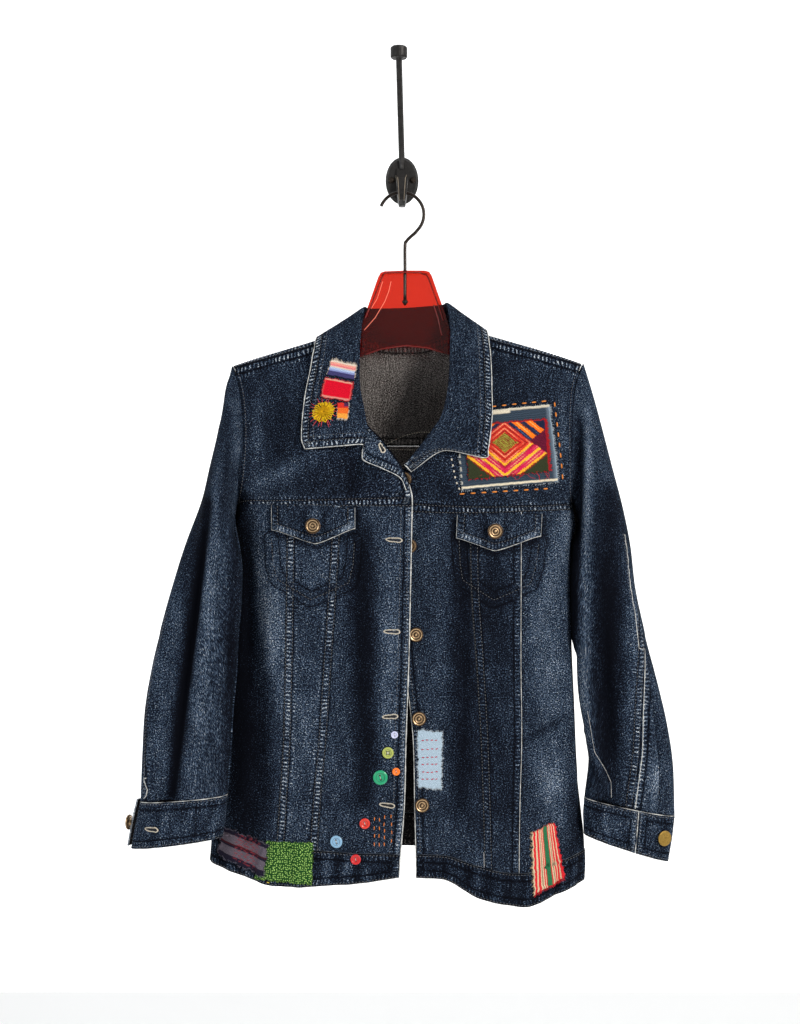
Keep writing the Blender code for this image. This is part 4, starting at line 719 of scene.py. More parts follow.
def stretched(tree, vector, across, down):
    """Cloth coordinates in millimetres, scaled to the grain of a noise."""
    return node(tree, "VectorMath", {0: vector, 1: (across, down, 1.0)}, operation="MULTIPLY").outputs[0]


def noise(tree, vector, scale=1.0, detail=2.0, roughness=0.5):
    values = {"Vector": vector, "Scale": scale, "Detail": detail, "Roughness": roughness}
    return node(tree, "TexNoise", values).outputs["Fac"]


def ramp(tree, value, stops):
    made = node(tree, "ValToRGB", {0: value})
    elements = made.color_ramp.elements
    while len(elements) < len(stops):
        elements.new(0.5)
    for element, (place, colour) in zip(elements, stops):
        element.position = place
        element.color = (*colour, 1.0)
    return made.outputs[0]


def finish(name, colour=(0.5, 0.5, 0.5), roughness=0.8, metallic=0.0):
    """A Principled material; its node tree and shader come back with it."""
    made = bpy.data.materials.new(name)
    made.use_nodes = True
    tree = made.node_tree
    shader = tree.nodes["Principled BSDF"]
    shader.inputs["Base Color"].default_value = (*colour, 1.0)
    shader.inputs["Roughness"].default_value = roughness
    shader.inputs["Metallic"].default_value = metallic
    return made, tree, shader


def relief(tree, shader, height, distance):
    """Bump, from a height between 0 and 1 that stands for a distance in millimetres."""
    bump = node(tree, "Bump", {"Height": height, "Distance": distance * MM, "Strength": 1.0})
    tree.links.new(bump.outputs[0], shader.inputs["Normal"])


def cloth_coordinates(tree):
    uv = node(tree, "UVMap", uv_map="cloth").outputs[0]
    return node(tree, "VectorMath", {0: uv, "Scale": 1000.0}, operation="SCALE").outputs[0]


def attribute(tree, name):
    return node(tree, "Attribute", attribute_name=name).outputs["Fac"]


INDIGO = (
    (0.00, (0.0016, 0.0020, 0.0038)), (0.24, (0.0048, 0.0070, 0.0128)), (0.44, (0.0155, 0.0240, 0.042)),
    (0.64, (0.052, 0.082, 0.135)), (0.82, (0.155, 0.215, 0.300)), (1.0, (0.56, 0.58, 0.58)),
)
REVERSE = (
    (0.0, (0.006, 0.006, 0.007)), (0.10, (0.045, 0.040, 0.038)), (0.45, (0.14, 0.125, 0.118)),
    (0.8, (0.38, 0.35, 0.33)),
)
RIM = ((0.2, (0.16, 0.18, 0.21)), (0.6, (0.42, 0.44, 0.46)), (0.9, (0.72, 0.72, 0.70)))


def times(tree, first, second):
    return calc(tree, "MULTIPLY", first, second)


def added(tree, value, *parts):
    """The value with each part added by its share."""
    for part, share in parts:
        value = calc(tree, "MULTIPLY_ADD", part, share, value)
    return value


def band(tree, distance, stretch, soft):
    """1 where the distance lies in the stretch, easing to 0 on both sides."""
    start, end = stretch
    rise = mapped(tree, distance, start - soft, start + soft)
    return times(tree, rise, mapped(tree, distance, end - soft, end + soft, 1.0, 0.0))


def tinted(tree, shader, value, stops):
    tree.links.new(ramp(tree, value, stops), shader.inputs["Base Color"])


def denim(name, stops=INDIGO):
    """Washed denim: salt-and-pepper grain, rows of pale bars beside its seams, worn edges, and painted light
    and shade.
    """
    made, tree, shader = finish(name, roughness=0.95)
    shader.inputs["Specular IOR Level"].default_value = 0.04
    place = cloth_coordinates(tree)

    def cloudy(across, down, detail, roughness=0.5):
        return noise(tree, stretched(tree, place, across, down), 1.0, detail, roughness)

    names = ("seam", "run", "wear", "fade", "marks")
    seam, run, wear, fade, marks = (attribute(tree, key) for key in names)
    grain = cloudy(0.80, 0.62, 2.0, 0.75)
    wobble = times(tree, cloudy(0.06, 0.06, 1.0), 9.0)
    phase = added(tree, wobble, (run, 2 * math.pi / ROPE_PITCH))
    bars = mapped(tree, calc(tree, "SINE", phase), -0.1, 0.7)
    patchy = mapped(tree, cloudy(0.10, 0.10, 1.0), 0.30, 0.62, 0.40, 1.0)
    outer_row = times(tree, band(tree, seam, OUTER_ROW, 0.9), 0.5)
    rows = calc(tree, "ADD", band(tree, seam, INNER_ROW, 0.7), outer_row)
    rope = times(tree, times(tree, bars, rows), times(tree, patchy, marks))
    furrow = calc(tree, "ADD", band(tree, seam, FURROW, 0.7), mapped(tree, seam, 1.0, 2.0, 1.0, 0.0))
    # The seam shadow and the furrow are painted shade; fade adds painted light and shade.
    value = added(
        tree, WASH_BASE, (grain, WASH_GRAIN), (cloudy(0.35, 0.045, 2.0), WASH_SLUB),
        (cloudy(0.030, 0.018, 3.0, 0.6), WASH_CLOUD), (mapped(tree, seam, *SHADOW, 1.0, 0.0), SEAM_SHADOW),
        (furrow, FURROW_SHADE), (rope, WASH_ROPE), (fade, 1.0),
    )
    value = calc(tree, "ADD", value, times(tree, wear, added(tree, 0.67, (grain, 0.5))))
    if stops is REVERSE:
        # Little light reaches the inside below the chest.
        up = node(tree, "SeparateXYZ", {0: node(tree, "TexCoord").outputs["Object"]}).outputs["Z"]
        value = calc(tree, "ADD", value, mapped(tree, up, *INSIDE_DARK, INSIDE_LIGHT, 0.0))
    tinted(tree, shader, value, stops)
    relief(tree, shader, added(tree, times(tree, grain, 0.25), (rope, 0.9), (furrow, -0.6)), 1.0)
    return made


def grained(name, colour, dark=0.5, grain=0.9):
    """Plain woven cloth or yarn of one colour, darker between its threads."""
    made, tree, shader = finish(name, colour, 0.85)
    shader.inputs["Specular IOR Level"].default_value = 0.12
    weave = noise(tree, stretched(tree, cloth_coordinates(tree), grain, grain), 1.0, 3.0, 0.7)
    tinted(tree, shader, weave, ((0.35, tuple(c * dark for c in colour)), (0.62, colour)))
    relief(tree, shader, weave, 0.25)
    return made


def painted(name, depth):
    """Patterned cloth: its colours lie in the mesh's own paint attribute, its threads in the bump."""
    made, tree, shader = finish(name, roughness=0.85)
    shader.inputs["Specular IOR Level"].default_value = 0.08
    weave = noise(tree, stretched(tree, cloth_coordinates(tree), 1.6, 0.8), 1.0, 3.0, 0.7)
    paint = node(tree, "Attribute", attribute_name="paint").outputs["Color"]
    shade = mapped(tree, weave, 0.3, 0.65, 0.45, 1.1)
    shaded = node(tree, "VectorMath", {0: paint, "Scale": shade}, operation="SCALE").outputs[0]
    tree.links.new(shaded, shader.inputs["Base Color"])
    relief(tree, shader, weave, depth)
    return made


def speckled(name, colour, roughness, metallic, scale, low, depth):
    """A hard surface whose colour and gloss vary in soft spots."""
    made, tree, shader = finish(name, colour, roughness, metallic)
    spots = noise(tree, node(tree, "TexCoord").outputs["Object"], scale, 4.0, 0.6)
    tinted(tree, shader, spots, ((0.35, tuple(c * low for c in colour)), (0.65, colour)))
    rough = mapped(tree, spots, 0.3, 0.7, roughness * 1.3, roughness * 0.8)
    tree.links.new(rough, shader.inputs["Roughness"])
    relief(tree, shader, spots, depth)
    return made


# Meshes.
def new_piece(name, points, faces, finishes, uv, floats=None, paint=None):
    """A mesh piece from points in millimetres; it rides on the only body."""
    mesh = bpy.data.meshes.new(name)
    mesh.from_pydata((np.asarray(points, float) * MM).tolist(), [], faces)
    for one in finishes:
        mesh.materials.append(one)
    corners = np.empty(len(mesh.loops), int)
    mesh.loops.foreach_get("vertex_index", corners)
    layer = mesh.uv_layers.new(name="cloth")
    layer.data.foreach_set("uv", (np.asarray(uv) * MM)[corners].astype(np.float32).ravel())
    for key, values in (floats or {}).items():
        kept = mesh.attributes.new(key, "FLOAT", "POINT")
        kept.data.foreach_set("value", np.asarray(values, np.float32).ravel())
    if paint is not None:
        kept = mesh.attributes.new("paint", "FLOAT_COLOR", "POINT")
        colours = np.concatenate((paint, np.ones((len(paint), 1))), axis=1)
        kept.data.foreach_set("color", colours.astype(np.float32).ravel())
    mesh.polygons.foreach_set("use_smooth", np.full(len(mesh.polygons), True))
    mesh.update()
    made = bpy.data.objects.new(name, mesh)
    bpy.context.scene.collection.objects.link(made)
    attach(made, "root")
    return made


def grid_faces(rows, columns):
    """Quads of a grid that has this many points down and across."""
    index = np.arange(rows * columns).reshape(rows, columns)
    quads = (index[:-1, :-1], index[1:, :-1], index[1:, 1:], index[:-1, 1:])
    return np.stack(quads, axis=-1).reshape(-1, 4).tolist()


def lengths(points, axis):
    """Distance walked along one axis of a grid of points."""
    steps = np.linalg.norm(np.diff(points, axis=axis), axis=-1)
    start = np.zeros_like(steps[:, :1] if axis == 1 else steps[:1])
    return np.concatenate((start, np.cumsum(steps, axis=axis)), axis=axis)


def normals_of(points):
    return unit(np.cross(np.gradient(points, axis=0), np.gradient(points, axis=1)))


def beside(x, z, start, end):
    """How far along a stretch in the front view places lie, how far from it, and its length."""
    (x0, z0), (x1, z1) = start, end
    length = math.hypot(x1 - x0, z1 - z0)
    t = np.clip(((x - x0) * (x1 - x0) + (z - z0) * (z1 - z0)) / length ** 2, 0, 1)
    return t, np.hypot(x - x0 - (x1 - x0) * t, z - z0 - (z1 - z0) * t), length


def near_line(x, z, line):
    """Distance in the front view from points to a broken line, and how far along it they are."""
    nearest = np.full(np.shape(x), FAR)
    run = np.zeros(np.shape(x))
    walked = 0.0
    for start, end in zip(line, line[1:]):
        t, distance, length = beside(x, z, start, end)
        run = np.where(distance < nearest, walked + t * length, run)
        nearest = np.minimum(nearest, distance)
        walked += length
    return nearest, run


def strokes(rows, x, z, ends=0.35):
    """The sum at each place of soft strokes in the front view."""
    total = np.zeros(np.shape(x))
    for x0, z0, x1, z1, width, amount in rows:
        t, distance, _ = beside(x, z, (x0, z0), (x1, z1))
        middle = ends + (1 - ends) * np.sin(np.pi * t)
        total = total + amount * middle * np.exp(-((distance / width) ** 2))
    return total


LAID = {}


def side_distance(points, side):
    """Distance from one side of a grid, and the distance along that side."""
    s, t = lengths(points, 1), lengths(points, 0)
    if side == "left":
        return s, t[:, :1] + 0 * s
    if side == "right":
        return s[:, -1:] - s, t[:, -1:] + 0 * s
    if side == "top":
        return t, s[:1] + 0 * t
    return t[-1:] - t, s[-1:] + 0 * t


def lay_cloth(
    name, points, finishes, slot="denim", stitched="", free="", raised="", upright="", creases=(),
    light_and_fades=(), lines=(), pale=(), thickness=CLOTH, wear=0.0, ripple=None, paint=None, marks=1.0,
    line_marks=0.15, free_below=0.0, edge=1.4,
):
    """A shell of cloth through a grid of points.

    stitched sides have topstitching, free sides are worn edges, and raised sides lie on a turned
    seam allowance. Beside upright sides the pale bars stand upright.
    """
    normals = normals_of(points)
    x, z = points[..., 0], points[..., 2]
    depth = strokes(creases, x, z)
    points = points - normals * depth[..., None]
    swell = 0.0 * x if ripple is None else ripple(points)
    points = points + normals * swell[..., None]
    seam = np.full(x.shape, FAR_FROM_SEAM)
    run = np.zeros(x.shape)
    for side in f"{stitched} {free}".split():
        distance, place = side_distance(points, side)
        run = np.where(distance < seam, x if side in upright.split() else place, run)
        seam = np.minimum(seam, distance)
    marks = np.full(x.shape, marks)
    for line in lines:
        distance, place = near_line(x, z, line)
        distance = distance + 0.5
        run = np.where(distance < seam, place, run)
        marks = np.where(distance < seam, line_marks, marks)
        seam = np.minimum(seam, distance)
    worn = np.zeros(x.shape)
    # fade: a tone shift for the whole piece, the strokes' painted light and shade, painted shade in creases
    # and painted light on puckers.
    fade = wear + strokes(light_and_fades, x, z, 0.5) - np.clip(depth, -3, 3) * CREASE_SHADE + swell * PUCKER_SHADE
    for line in pale:
        worn = worn + PALE_WEAR[0] * np.exp(-((near_line(x, z, line)[0] / PALE_WEAR[1]) ** 4))
    for side in stitched.split():
        worn = worn + SEAM_WEAR[0] * np.exp(-side_distance(points, side)[0] / SEAM_WEAR[1])
    for side in free.split():
        reach = 1.0 if free_below == 0 else smoothstep((free_below - z) / 8)
        worn = worn + EDGE_WEAR * reach * np.exp(-((side_distance(points, side)[0] / edge) ** 4))
    for side in raised.split():
        distance, _ = side_distance(points, side)
        step = smoothstep((TURNED_EDGE - distance) / 2.0) * smoothstep((distance + 0.6) / 1.2)
        points = points + normals * (TURNED_LIFT * step)[..., None]
    s, t = lengths(points, 1), lengths(points, 0)
    rows, columns = x.shape
    uv = np.stack((s - s[:, columns // 2, None], -t), axis=-1).reshape(-1, 2)
    if not free:
        finishes = [*finishes[:2], finishes[0]]
    made = new_piece(
        name, points.reshape(-1, 3), grid_faces(rows, columns), finishes, uv,
        {"seam": seam, "run": run, "wear": worn, "fade": fade, "marks": marks}, paint,
    )
    wall = made.modifiers.new("wall", "SOLIDIFY")
    wall.thickness = thickness * MM
    wall.offset = 0.0
    wall.material_offset = 1 if len(finishes) > 1 else 0
    wall.material_offset_rim = 2 if len(finishes) > 2 else 0
    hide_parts(name)
    LAID[name] = points, normals_of(points)


def line_on(name, side, distance, start=0.0):
    """Points and normals of a line that runs beside one side of a laid cloth."""
    points, normals = LAID[name]
    away, _ = side_distance(points, side)
    if side in ("top", "bottom"):
        away, points, normals = away.T, points.swapaxes(0, 1), normals.swapaxes(0, 1)
    if side in ("right", "bottom"):
        away, points, normals = away[:, ::-1], points[:, ::-1], normals[:, ::-1]
    found, up = [], []
    for row in range(int(start * (len(points) - 1)), len(points)):
        place = np.interp(distance, away[row], np.arange(away.shape[1]))
        i = min(int(place), away.shape[1] - 2)
        found.append(points[row, i] + (points[row, i + 1] - points[row, i]) * (place - i))
        up.append(normals[row, i])
    return np.array(found), np.array(up)


def walk_along(line):
    """The distance walked along a line, at each of its points."""
    return np.concatenate(([0], np.cumsum(np.linalg.norm(np.diff(line, axis=0), axis=1))))


class Threads:
    """Threads of one finish, gathered into one mesh."""

    def __init__(self):
        self.points, self.faces = [], []

    def piece(self, name, one, slot="denim"):
        uv = np.array(self.points)[:, [0, 2]]
        return new_piece(name, self.points, self.faces, [one], uv)


class Sewing(Threads):
    """Short stitches that go into the cloth at both ends."""

    def stitch(self, start, end, up, width, height):
        """One stitch: a thread that rises between the two holes it goes into."""
        along_it = end - start
        side = np.cross(up, along_it)
        side = side / max(np.linalg.norm(side), 1e-9) * width / 2
        low, high = start + along_it * 0.22, start + along_it * 0.78
        k = len(self.points)
        ring = [low - side, low + up * height, low + side, high - side, high + up * height, high + side]
        self.points.extend([start - up * 0.2, *ring, end - up * 0.2])
        self.faces.extend([
            (k, k + 2, k + 1), (k, k + 3, k + 2), (k, k + 1, k + 3), (k + 1, k + 2, k + 5, k + 4),
            (k + 2, k + 3, k + 6, k + 5), (k + 3, k + 1, k + 4, k + 6), (k + 7, k + 4, k + 5),
            (k + 7, k + 5, k + 6), (k + 7, k + 6, k + 4),
        ])

    def run(self, line, up, pitch=STITCH_PITCH, length=STITCH_LENGTH, width=0.7, height=0.45, lift=CLOTH / 2):
        """Stitches along a line of points."""
        walked = walk_along(line)

        def at(where, values=line):
            return np.array([np.interp(where, walked, values[:, i]) for i in range(3)])

        for k in range(int((walked[-1] - length) / pitch) + 1):
            begin = k * pitch + 0.4
            normal = unit(at(begin + length / 2, up))
            raised = normal * lift
            self.stitch(at(begin) + raised, at(begin + length) + raised, normal, width, height)


class Strands(Threads):
    """Threads with a few sides each; across is a direction that none of them follows."""

    def __init__(self, sides=3, across=(0.31, 0.93, 0.2)):
        super().__init__()
        self.sides, self.across = sides, across

    def add(self, line, radius=0.2, tip=0.4):
        line = np.asarray(line, float)
        radius = np.broadcast_to(radius, len(line))
        way = unit(np.gradient(line, axis=0))
        side = unit(np.cross(way, self.across))
        up = np.cross(side, way)
        start, count = len(self.points), self.sides
        turns = np.arange(count) * 2 * math.pi / count
        for k, point in enumerate(line):
            r = radius[k] * (tip if k == len(line) - 1 else 1)
            for turn in turns:
                self.points.append(point + (side[k] * math.cos(turn) + up[k] * math.sin(turn)) * r)
        for a in range(start, len(self.points) - count, count):
            for i in range(count):
                j = (i + 1) % count
                self.faces.append((a + i, a + count + i, a + count + j, a + j))
        last = len(self.points) - count
        self.faces.append(tuple(range(start, start + count)))
        self.faces.append(tuple(range(last + count - 1, last - 1, -1)))


def caster(points, faces):
    """A function that finds a surface and its normal from the viewer's side."""
    tree = BVHTree.FromPolygons(points, faces)

    def cast(x, z):
        hit, normal, _, _ = tree.ray_cast(Vector((x, VIEWER_Y, z)), Vector((0, 1, 0)))
        if hit is None:
            hit, normal, _, _ = tree.find_nearest(Vector((x, NEAR_Y, z)))
        normal = np.array(normal)
        return np.array(hit), normal if normal[1] < 0 else -normal

    return cast


def on_solid(made):
    """A caster onto a solid that is shown as it is."""
    points = [made.matrix_world @ corner.co / MM for corner in made.data.vertices]
    return caster(points, [tuple(face.vertices) for face in made.data.polygons])


def ground(names):
    """A caster onto laid pieces."""
    points, faces, start = [], [], 0
    for name in names:
        grid, normals = LAID[name]
        points.append((grid + normals * CLOTH / 2).reshape(-1, 3))
        faces.append(np.array(grid_faces(*grid.shape[:2])) + start)
        start += grid.shape[0] * grid.shape[1]
    return caster(np.concatenate(points).tolist(), np.concatenate(faces).tolist())


# The pieces of cloth.
def under_arms(points):
    """Cloth bulges a little under each arm, as far as the sleeve."""
    x, z = points[..., 0], points[..., 2]
    near = np.exp(-(((z - BULGE_Z) / BULGE_SPAN) ** 2))
    left = LEFT_BULGE * smoothstep((-150 - x) / BULGE_EASE) * near
    right = RIGHT_BULGE * smoothstep((x - 160) / BULGE_EASE) * near
    return points + stacked(left + right, 0 * x, 0 * x)


def beside_body(points):
    """The right sleeve lies close to the body down to its elbow."""
    x, z = points[..., 0], points[..., 2]
    inner = smoothstep((226 - x) / 18) * smoothstep((-425 - z) / 25) * smoothstep((z + 582) / 24)
    return points - stacked(SLEEVE_NEARER * inner, 0 * x, 0 * x)


def back_side(column):
    return lambda z: np.where(z > ARMPIT_Z, along(ARMHOLE, column, z), along(BODY, column, z))


def curve(rows, column):
    """A seam or a level line: one column of a table, by place."""
    return lambda place: along(rows, column, place)


def puckers(strength, seed):
    """Small upright gathers, as on a band that has shrunk along its stitching."""
    phases = np.random.default_rng(seed).uniform(0, 6.3, 3)

    def ripple(points):
        walked = lengths(points, 1)
        down = shares(len(points) - 1)[:, None]
        wave = np.sin(walked / 2.9 + phases[0] + 2 * np.sin(walked / 23 + phases[1]))
        wave = wave + 0.6 * np.sin(walked / 4.7 + phases[2] + down * 1.5)
        return strength * wave * (0.55 + 0.45 * np.sin(np.pi * down))

    return ripple


def make_fronts(finishes):
    left, right = curve(BODY, "left"), curve(BODY, "right")
    edges = {key: curve(SEAMS, key) for key in SEAMS}
    over, under = (LEFT_LEVELS, left_front_y), (RIGHT_LEVELS, front_y)
    # Each panel: its two seams, how many columns, its levels and surface, which sides are stitched
    # and lie on a turned allowance, and which are worn.
    for name, x_left, x_right, columns, (levels, surface), stitched, free in (
        ("left_side", left, edges["left_outer"], 26, over, "", ""),
        ("left_middle", edges["left_outer"], edges["left_inner"], 22, over, "left right", ""),
        ("left_centre", edges["left_inner"], edges["left_edge"], 29, over, "", "right"),
        ("right_centre", edges["right_edge"], edges["right_inner"], 29, under, "", "left"),
        ("right_middle", edges["right_inner"], edges["right_outer"], 21, under, "left right", "right"),
        ("right_side", edges["right_outer"], right, 28, under, "", ""),
    ):
        top, bottom = curve(levels, "yoke_seam"), curve(levels, "hem_seam")
        rows = under_arms(lower_panel(x_left, x_right, top, bottom, surface, columns, 134))
        lay_cloth(f"front_{name}", rows, finishes, stitched=stitched, free=free, raised=stitched,
                  creases=FRONT_CREASES, light_and_fades=FRONT_LIGHT_AND_FADES, marks=0.62 if free else 1.0,
                  lines=[LEFT_POCKET if "left" in name else RIGHT_POCKET])
    for side, x_left, x_right, (levels, surface), free, seed, wear in (
        ("left", left, edges["left_edge"], over, "right", 3, -0.09),
        ("right", edges["right_edge"], right, under, "left", 5, -0.16),
    ):
        top, bottom = curve(levels, "hem_seam"), curve(levels, "hem")
        rows = lower_panel(x_left, x_right, top, bottom, surface, 90, 14)
        lay_cloth(f"hem_band_{side}", rows, finishes, stitched="top", free="bottom " + free, marks=0.5,
                  edge=0.9, wear=wear, creases=FRONT_CREASES, light_and_fades=FRONT_LIGHT_AND_FADES, thickness=BAND_CLOTH,
                  ripple=puckers(0.7, seed))
    for side, rows, (levels, surface), free in (
        ("left", LEFT_YOKE, over, "right"), ("right", RIGHT_YOKE, under, ""),
    ):
        lay_cloth(f"front_yoke_{side}", yoke_rows(rows, side, levels, surface, 68, 62), finishes,
                  raised="bottom", stitched="bottom top", upright="bottom top", free=free,
                  creases=FRONT_CREASES, light_and_fades=FRONT_LIGHT_AND_FADES, wear=-0.09, free_below=-378, marks=1.15)


def make_back(finishes):
    # The back's creases, and its painted light and shade with some wash fading.
    worn = {"creases": BACK_CREASES, "light_and_fades": BACK_LIGHT_AND_FADES}
    top, hem_seam = (lambda x: BACK_YOKE_Z + 0 * x), curve(BACK_LEVELS, "hem_seam")
    left, right = back_side("left"), back_side("right")
    inner_left, inner_right = curve(BACK_SEAMS, "left"), curve(BACK_SEAMS, "right")
    for name, x_left, x_right, columns, stitched in (
        ("back_left_side", left, inner_left, 30, ""),
        ("back_centre", inner_left, inner_right, 58, "left right"),
        ("back_right_side", inner_right, right, 30, ""),
    ):
        rows = lower_panel(x_left, x_right, top, hem_seam, back_y, columns, 120, BACK_GUESS)
        lay_cloth(name, under_arms(rows)[:, ::-1], finishes, stitched=stitched, raised=stitched, **worn)
    hem = curve(BACK_LEVELS, "hem")
    rows = lower_panel(left, right, hem_seam, hem, back_y, 160, 14, BACK_GUESS)
    lay_cloth("hem_band_back", rows[:, ::-1], finishes, stitched="top", free="bottom",
              thickness=BAND_CLOTH, ripple=puckers(0.4, 8), **worn)
    lay_cloth("back_yoke", back_yoke_rows(120, 70)[:, ::-1], finishes,
              stitched="top bottom left right", raised="bottom", **worn)


SLEEVE_CREASES = {
    "left_front": LEFT_SLEEVE_CREASES, "left_back": LEFT_SLEEVE_BACK_CREASES,
    "right_front": RIGHT_SLEEVE_CREASES, "right_back": RIGHT_SLEEVE_BACK_CREASES,
}
# Painted light and shade on the sleeve fronts, with some wash fading.
SLEEVE_LIGHT_AND_FADES = {"left_front": LEFT_SLEEVE_LIGHT_AND_FADES, "right_front": RIGHT_SLEEVE_LIGHT_AND_FADES}
# Worn white edges of laid pieces: which sides, how thick, below which height, from which share on.
WORN_EDGES = (
    ("front_left_centre", "right", 0.8, 0, 0), ("front_yoke_left", "right", 0.8, -376, 0),
    ("hem_band_left", "right", 0.8, 0, 0), ("facing_corner", "left", 0.85, 0, 0),
    ("front_right_centre", "left", 0.6, 0, 0), ("hem_band_right", "left", 0.6, 0, 0),
    ("hem_band_left", "bottom", 0.45, 0, 0), ("hem_band_right", "bottom", 0.45, 0, 0),
    ("hem_band_back", "bottom", 0.45, 0, 0), ("front_right_middle", "right", 0.5, 0, 0),
    ("collar", "right", 0.75, 0, 0), ("collar", "top", 0.75, -322, 0), ("collar", "bottom", 0.75, -330, 0),
    ("pocket_flap_left", "bottom", 0.22, 0, 0), ("pocket_flap_left", "bottom", 0.5, 0, 0.5),
    ("pocket_flap_left", "left right", 0.2, 0, 0), ("pocket_flap_right", "left right", 0.2, 0, 0),
    ("pocket_flap_right", "bottom", 0.22, 0, 0), ("pocket_flap_right", "bottom", 0.5, 0, 0.42),
    ("cuff_left", "top", 0.7, 0, 0), ("cuff_right", "top", 0.6, 0, 0), ("cuff_right", "right", 0.7, 0, 0),
    ("cuff_left", "bottom right", 0.45, 0, 0), ("cuff_right", "bottom", 0.45, 0, 0),
)
# Worn lines in the front view, on the piece behind them.
WORN_LINES = (
    ("sleeve_right_front", ((287, -430), (286, -554), (281.5, -690), (273.5, -757)), 0.55),
    ("sleeve_right_front",
     ((219, -644), (222, -660), (227, -692), (240, -713), (246.5, -727), (247, -746)), 0.26),
    ("sleeve_left_front", ((-303, -719), (-297, -733), (-299, -741), (-304, -745)), 0.75),
)
# Topstitched seams of the sleeves in the front view, and their pale lines.
SLEEVE_SEWN = {
    "right_front": (((287, -430), (286, -554), (279, -690), (271, -757)),),
    "left_front": (((-295, -520), (-308, -600), (-308, -700), (-306, -740)),),
}
SLEEVE_PALE = {
    "right_front": (((287, -430), (286, -554), (281.5, -690), (273.5, -757)),),
    "left_front": (((-303, -719), (-297, -733), (-299, -741), (-306, -745)),),
}


def make_sleeves(finishes):
    for piece, creases in SLEEVE_CREASES.items():
        side, part = piece.split("_")
        rows = sleeve_rows(side, part, 52, 180)
        if side == "right":
            rows = beside_body(rows)[:, ::-1]
        lay_cloth(f"sleeve_{piece}", rows, finishes, creases=creases, light_and_fades=SLEEVE_LIGHT_AND_FADES.get(piece, ()),
                  lines=SLEEVE_SEWN.get(piece, ()), pale=SLEEVE_PALE.get(piece, ()), line_marks=0.9)
    # Each cuff: the angles of its two ends, how far the late end stands off, its edges and wear.
    for side, start, end, spread, free, wear in (
        ("left", 14, 356, (-6, 6), "top bottom right", 0.0),
        ("right", 84, 443.3, (0, 0), "top bottom left right", -0.02),
    ):
        rows = cuff_rows(side, start, end, spread, 84, 18)
        if side == "right":
            rows = rows[:, ::-1]
        lay_cloth(f"cuff_{side}", rows, finishes, free=free, thickness=BAND_CLOTH,
                  ripple=puckers(0.4, 11), marks=0.4, edge=1.1, wear=wear)


def make_collar(finishes):
    outside, _, rim = finishes
    lay_cloth("collar", collar_rows(180, 44), finishes, free="right top bottom",
              wear=-0.05, edge=1.7, marks=1.2)
    lay_cloth("facing_corner", corner_rows(16, 30)[:, ::-1], [outside, outside, rim], free="left", wear=0.05)


# What lies on the panels.
def relaxed(values, passes):
    """A grid of values, smoothed a few times."""
    for _ in range(passes):
        wide = np.pad(values, 1, mode="reflect", reflect_type="odd")
        around = wide[:-2, 1:-1] + wide[2:, 1:-1] + wide[1:-1, :-2] + wide[1:-1, 2:]
        values = (around + 4 * values) / 8
    return values


def draped(cast, x, z, lift, passes=6):
    """Points in front of the pieces behind them, easing over their small creases."""
    hit_y = np.array([cast(a, b)[0][1] for a, b in zip(x.ravel(), z.ravel())]).reshape(x.shape)
    points = stacked(x, np.minimum(relaxed(hit_y, passes), hit_y), z)
    return points + normals_of(points) * np.broadcast_to(lift, x.shape)[..., None]


def four_sided(corners, columns, rows):
    """x and z of a grid over a four-cornered outline, and its shares across and down."""
    (ax, az), (bx, bz), (cx, cz), (dx, dz) = corners
    u = shares(columns)[None, :]
    v = shares(rows)[:, None]
    x = (ax * (1 - u) + bx * u) * (1 - v) + (dx * (1 - u) + cx * u) * v
    z = (az * (1 - u) + bz * u) * (1 - v) + (dz * (1 - u) + cz * u) * v
    return x, z, u + 0 * v, v + 0 * u


def make_flaps(finishes, cast):
    for name, corners, tip in FLAPS:
        (_, az), (_, bz), (cx, cz), (dx, dz) = corners
        x, z, u, v = four_sided(corners, 46, 18)
        point = (tip[0] - dx) / (cx - dx)
        near = 1 - np.abs(u - point) / np.where(u < point, point, 1 - point)
        side_z = dz * (1 - u) + cz * u
        low = side_z + (tip[1] - side_z) * (0.6 * near + 0.4 * smoothstep(near))
        z = (az * (1 - u) + bz * u) * (1 - v) + low * v
        rows = draped(cast, x, z, 1.5 + 0.9 * v + 0.5 * np.sin(np.pi * v) * np.sin(np.pi * u) ** 0.5)
        lay_cloth(name, rows, finishes, free="bottom left right", creases=FLAP_CREASES,
                  light_and_fades=FLAP_LIGHT_AND_SHADE, marks=0.6, edge=1.7, wear=-0.05)


def patch_grid(name, cast, columns, rows, lift, passes=6, wander=0.0):
    """A patch's grid of points on what is behind it, with its front-view x and z and its shares."""
    x, z, u, v = four_sided(PATCH_CORNERS[name], columns, rows)
    if wander:
        edge = np.minimum(np.minimum(u, 1 - u), np.minimum(v, 1 - v))
        near = np.exp(-edge * 14) * wander
        x = x + near * (np.sin(z * 0.9) + np.sin(z * 0.37 + 2))
        z = z + near * (np.sin(x * 0.8 + 1) + np.sin(x * 0.31))
    return draped(cast, x, z, lift, passes), x, z, u, v


def mixed(colours, colour, share):
    """The colours with another laid over them by a share from 0 to 1."""
    return colours + (np.asarray(colour) - colours) * np.clip(share, 0, 1)[..., None]


def layered(shape, base):
    return np.broadcast_to(np.asarray(base, float), (*shape, 3)).copy()


def speck(x, z, amount, seed=0):
    """A rough change of brightness from place to place, around 1."""
    waves = np.sin(x * 2.1 + seed) * np.sin(z * 2.7 + seed * 2) + np.sin(x * 5.3 + z * 3.1 + seed)
    return 1 + amount * waves / 2


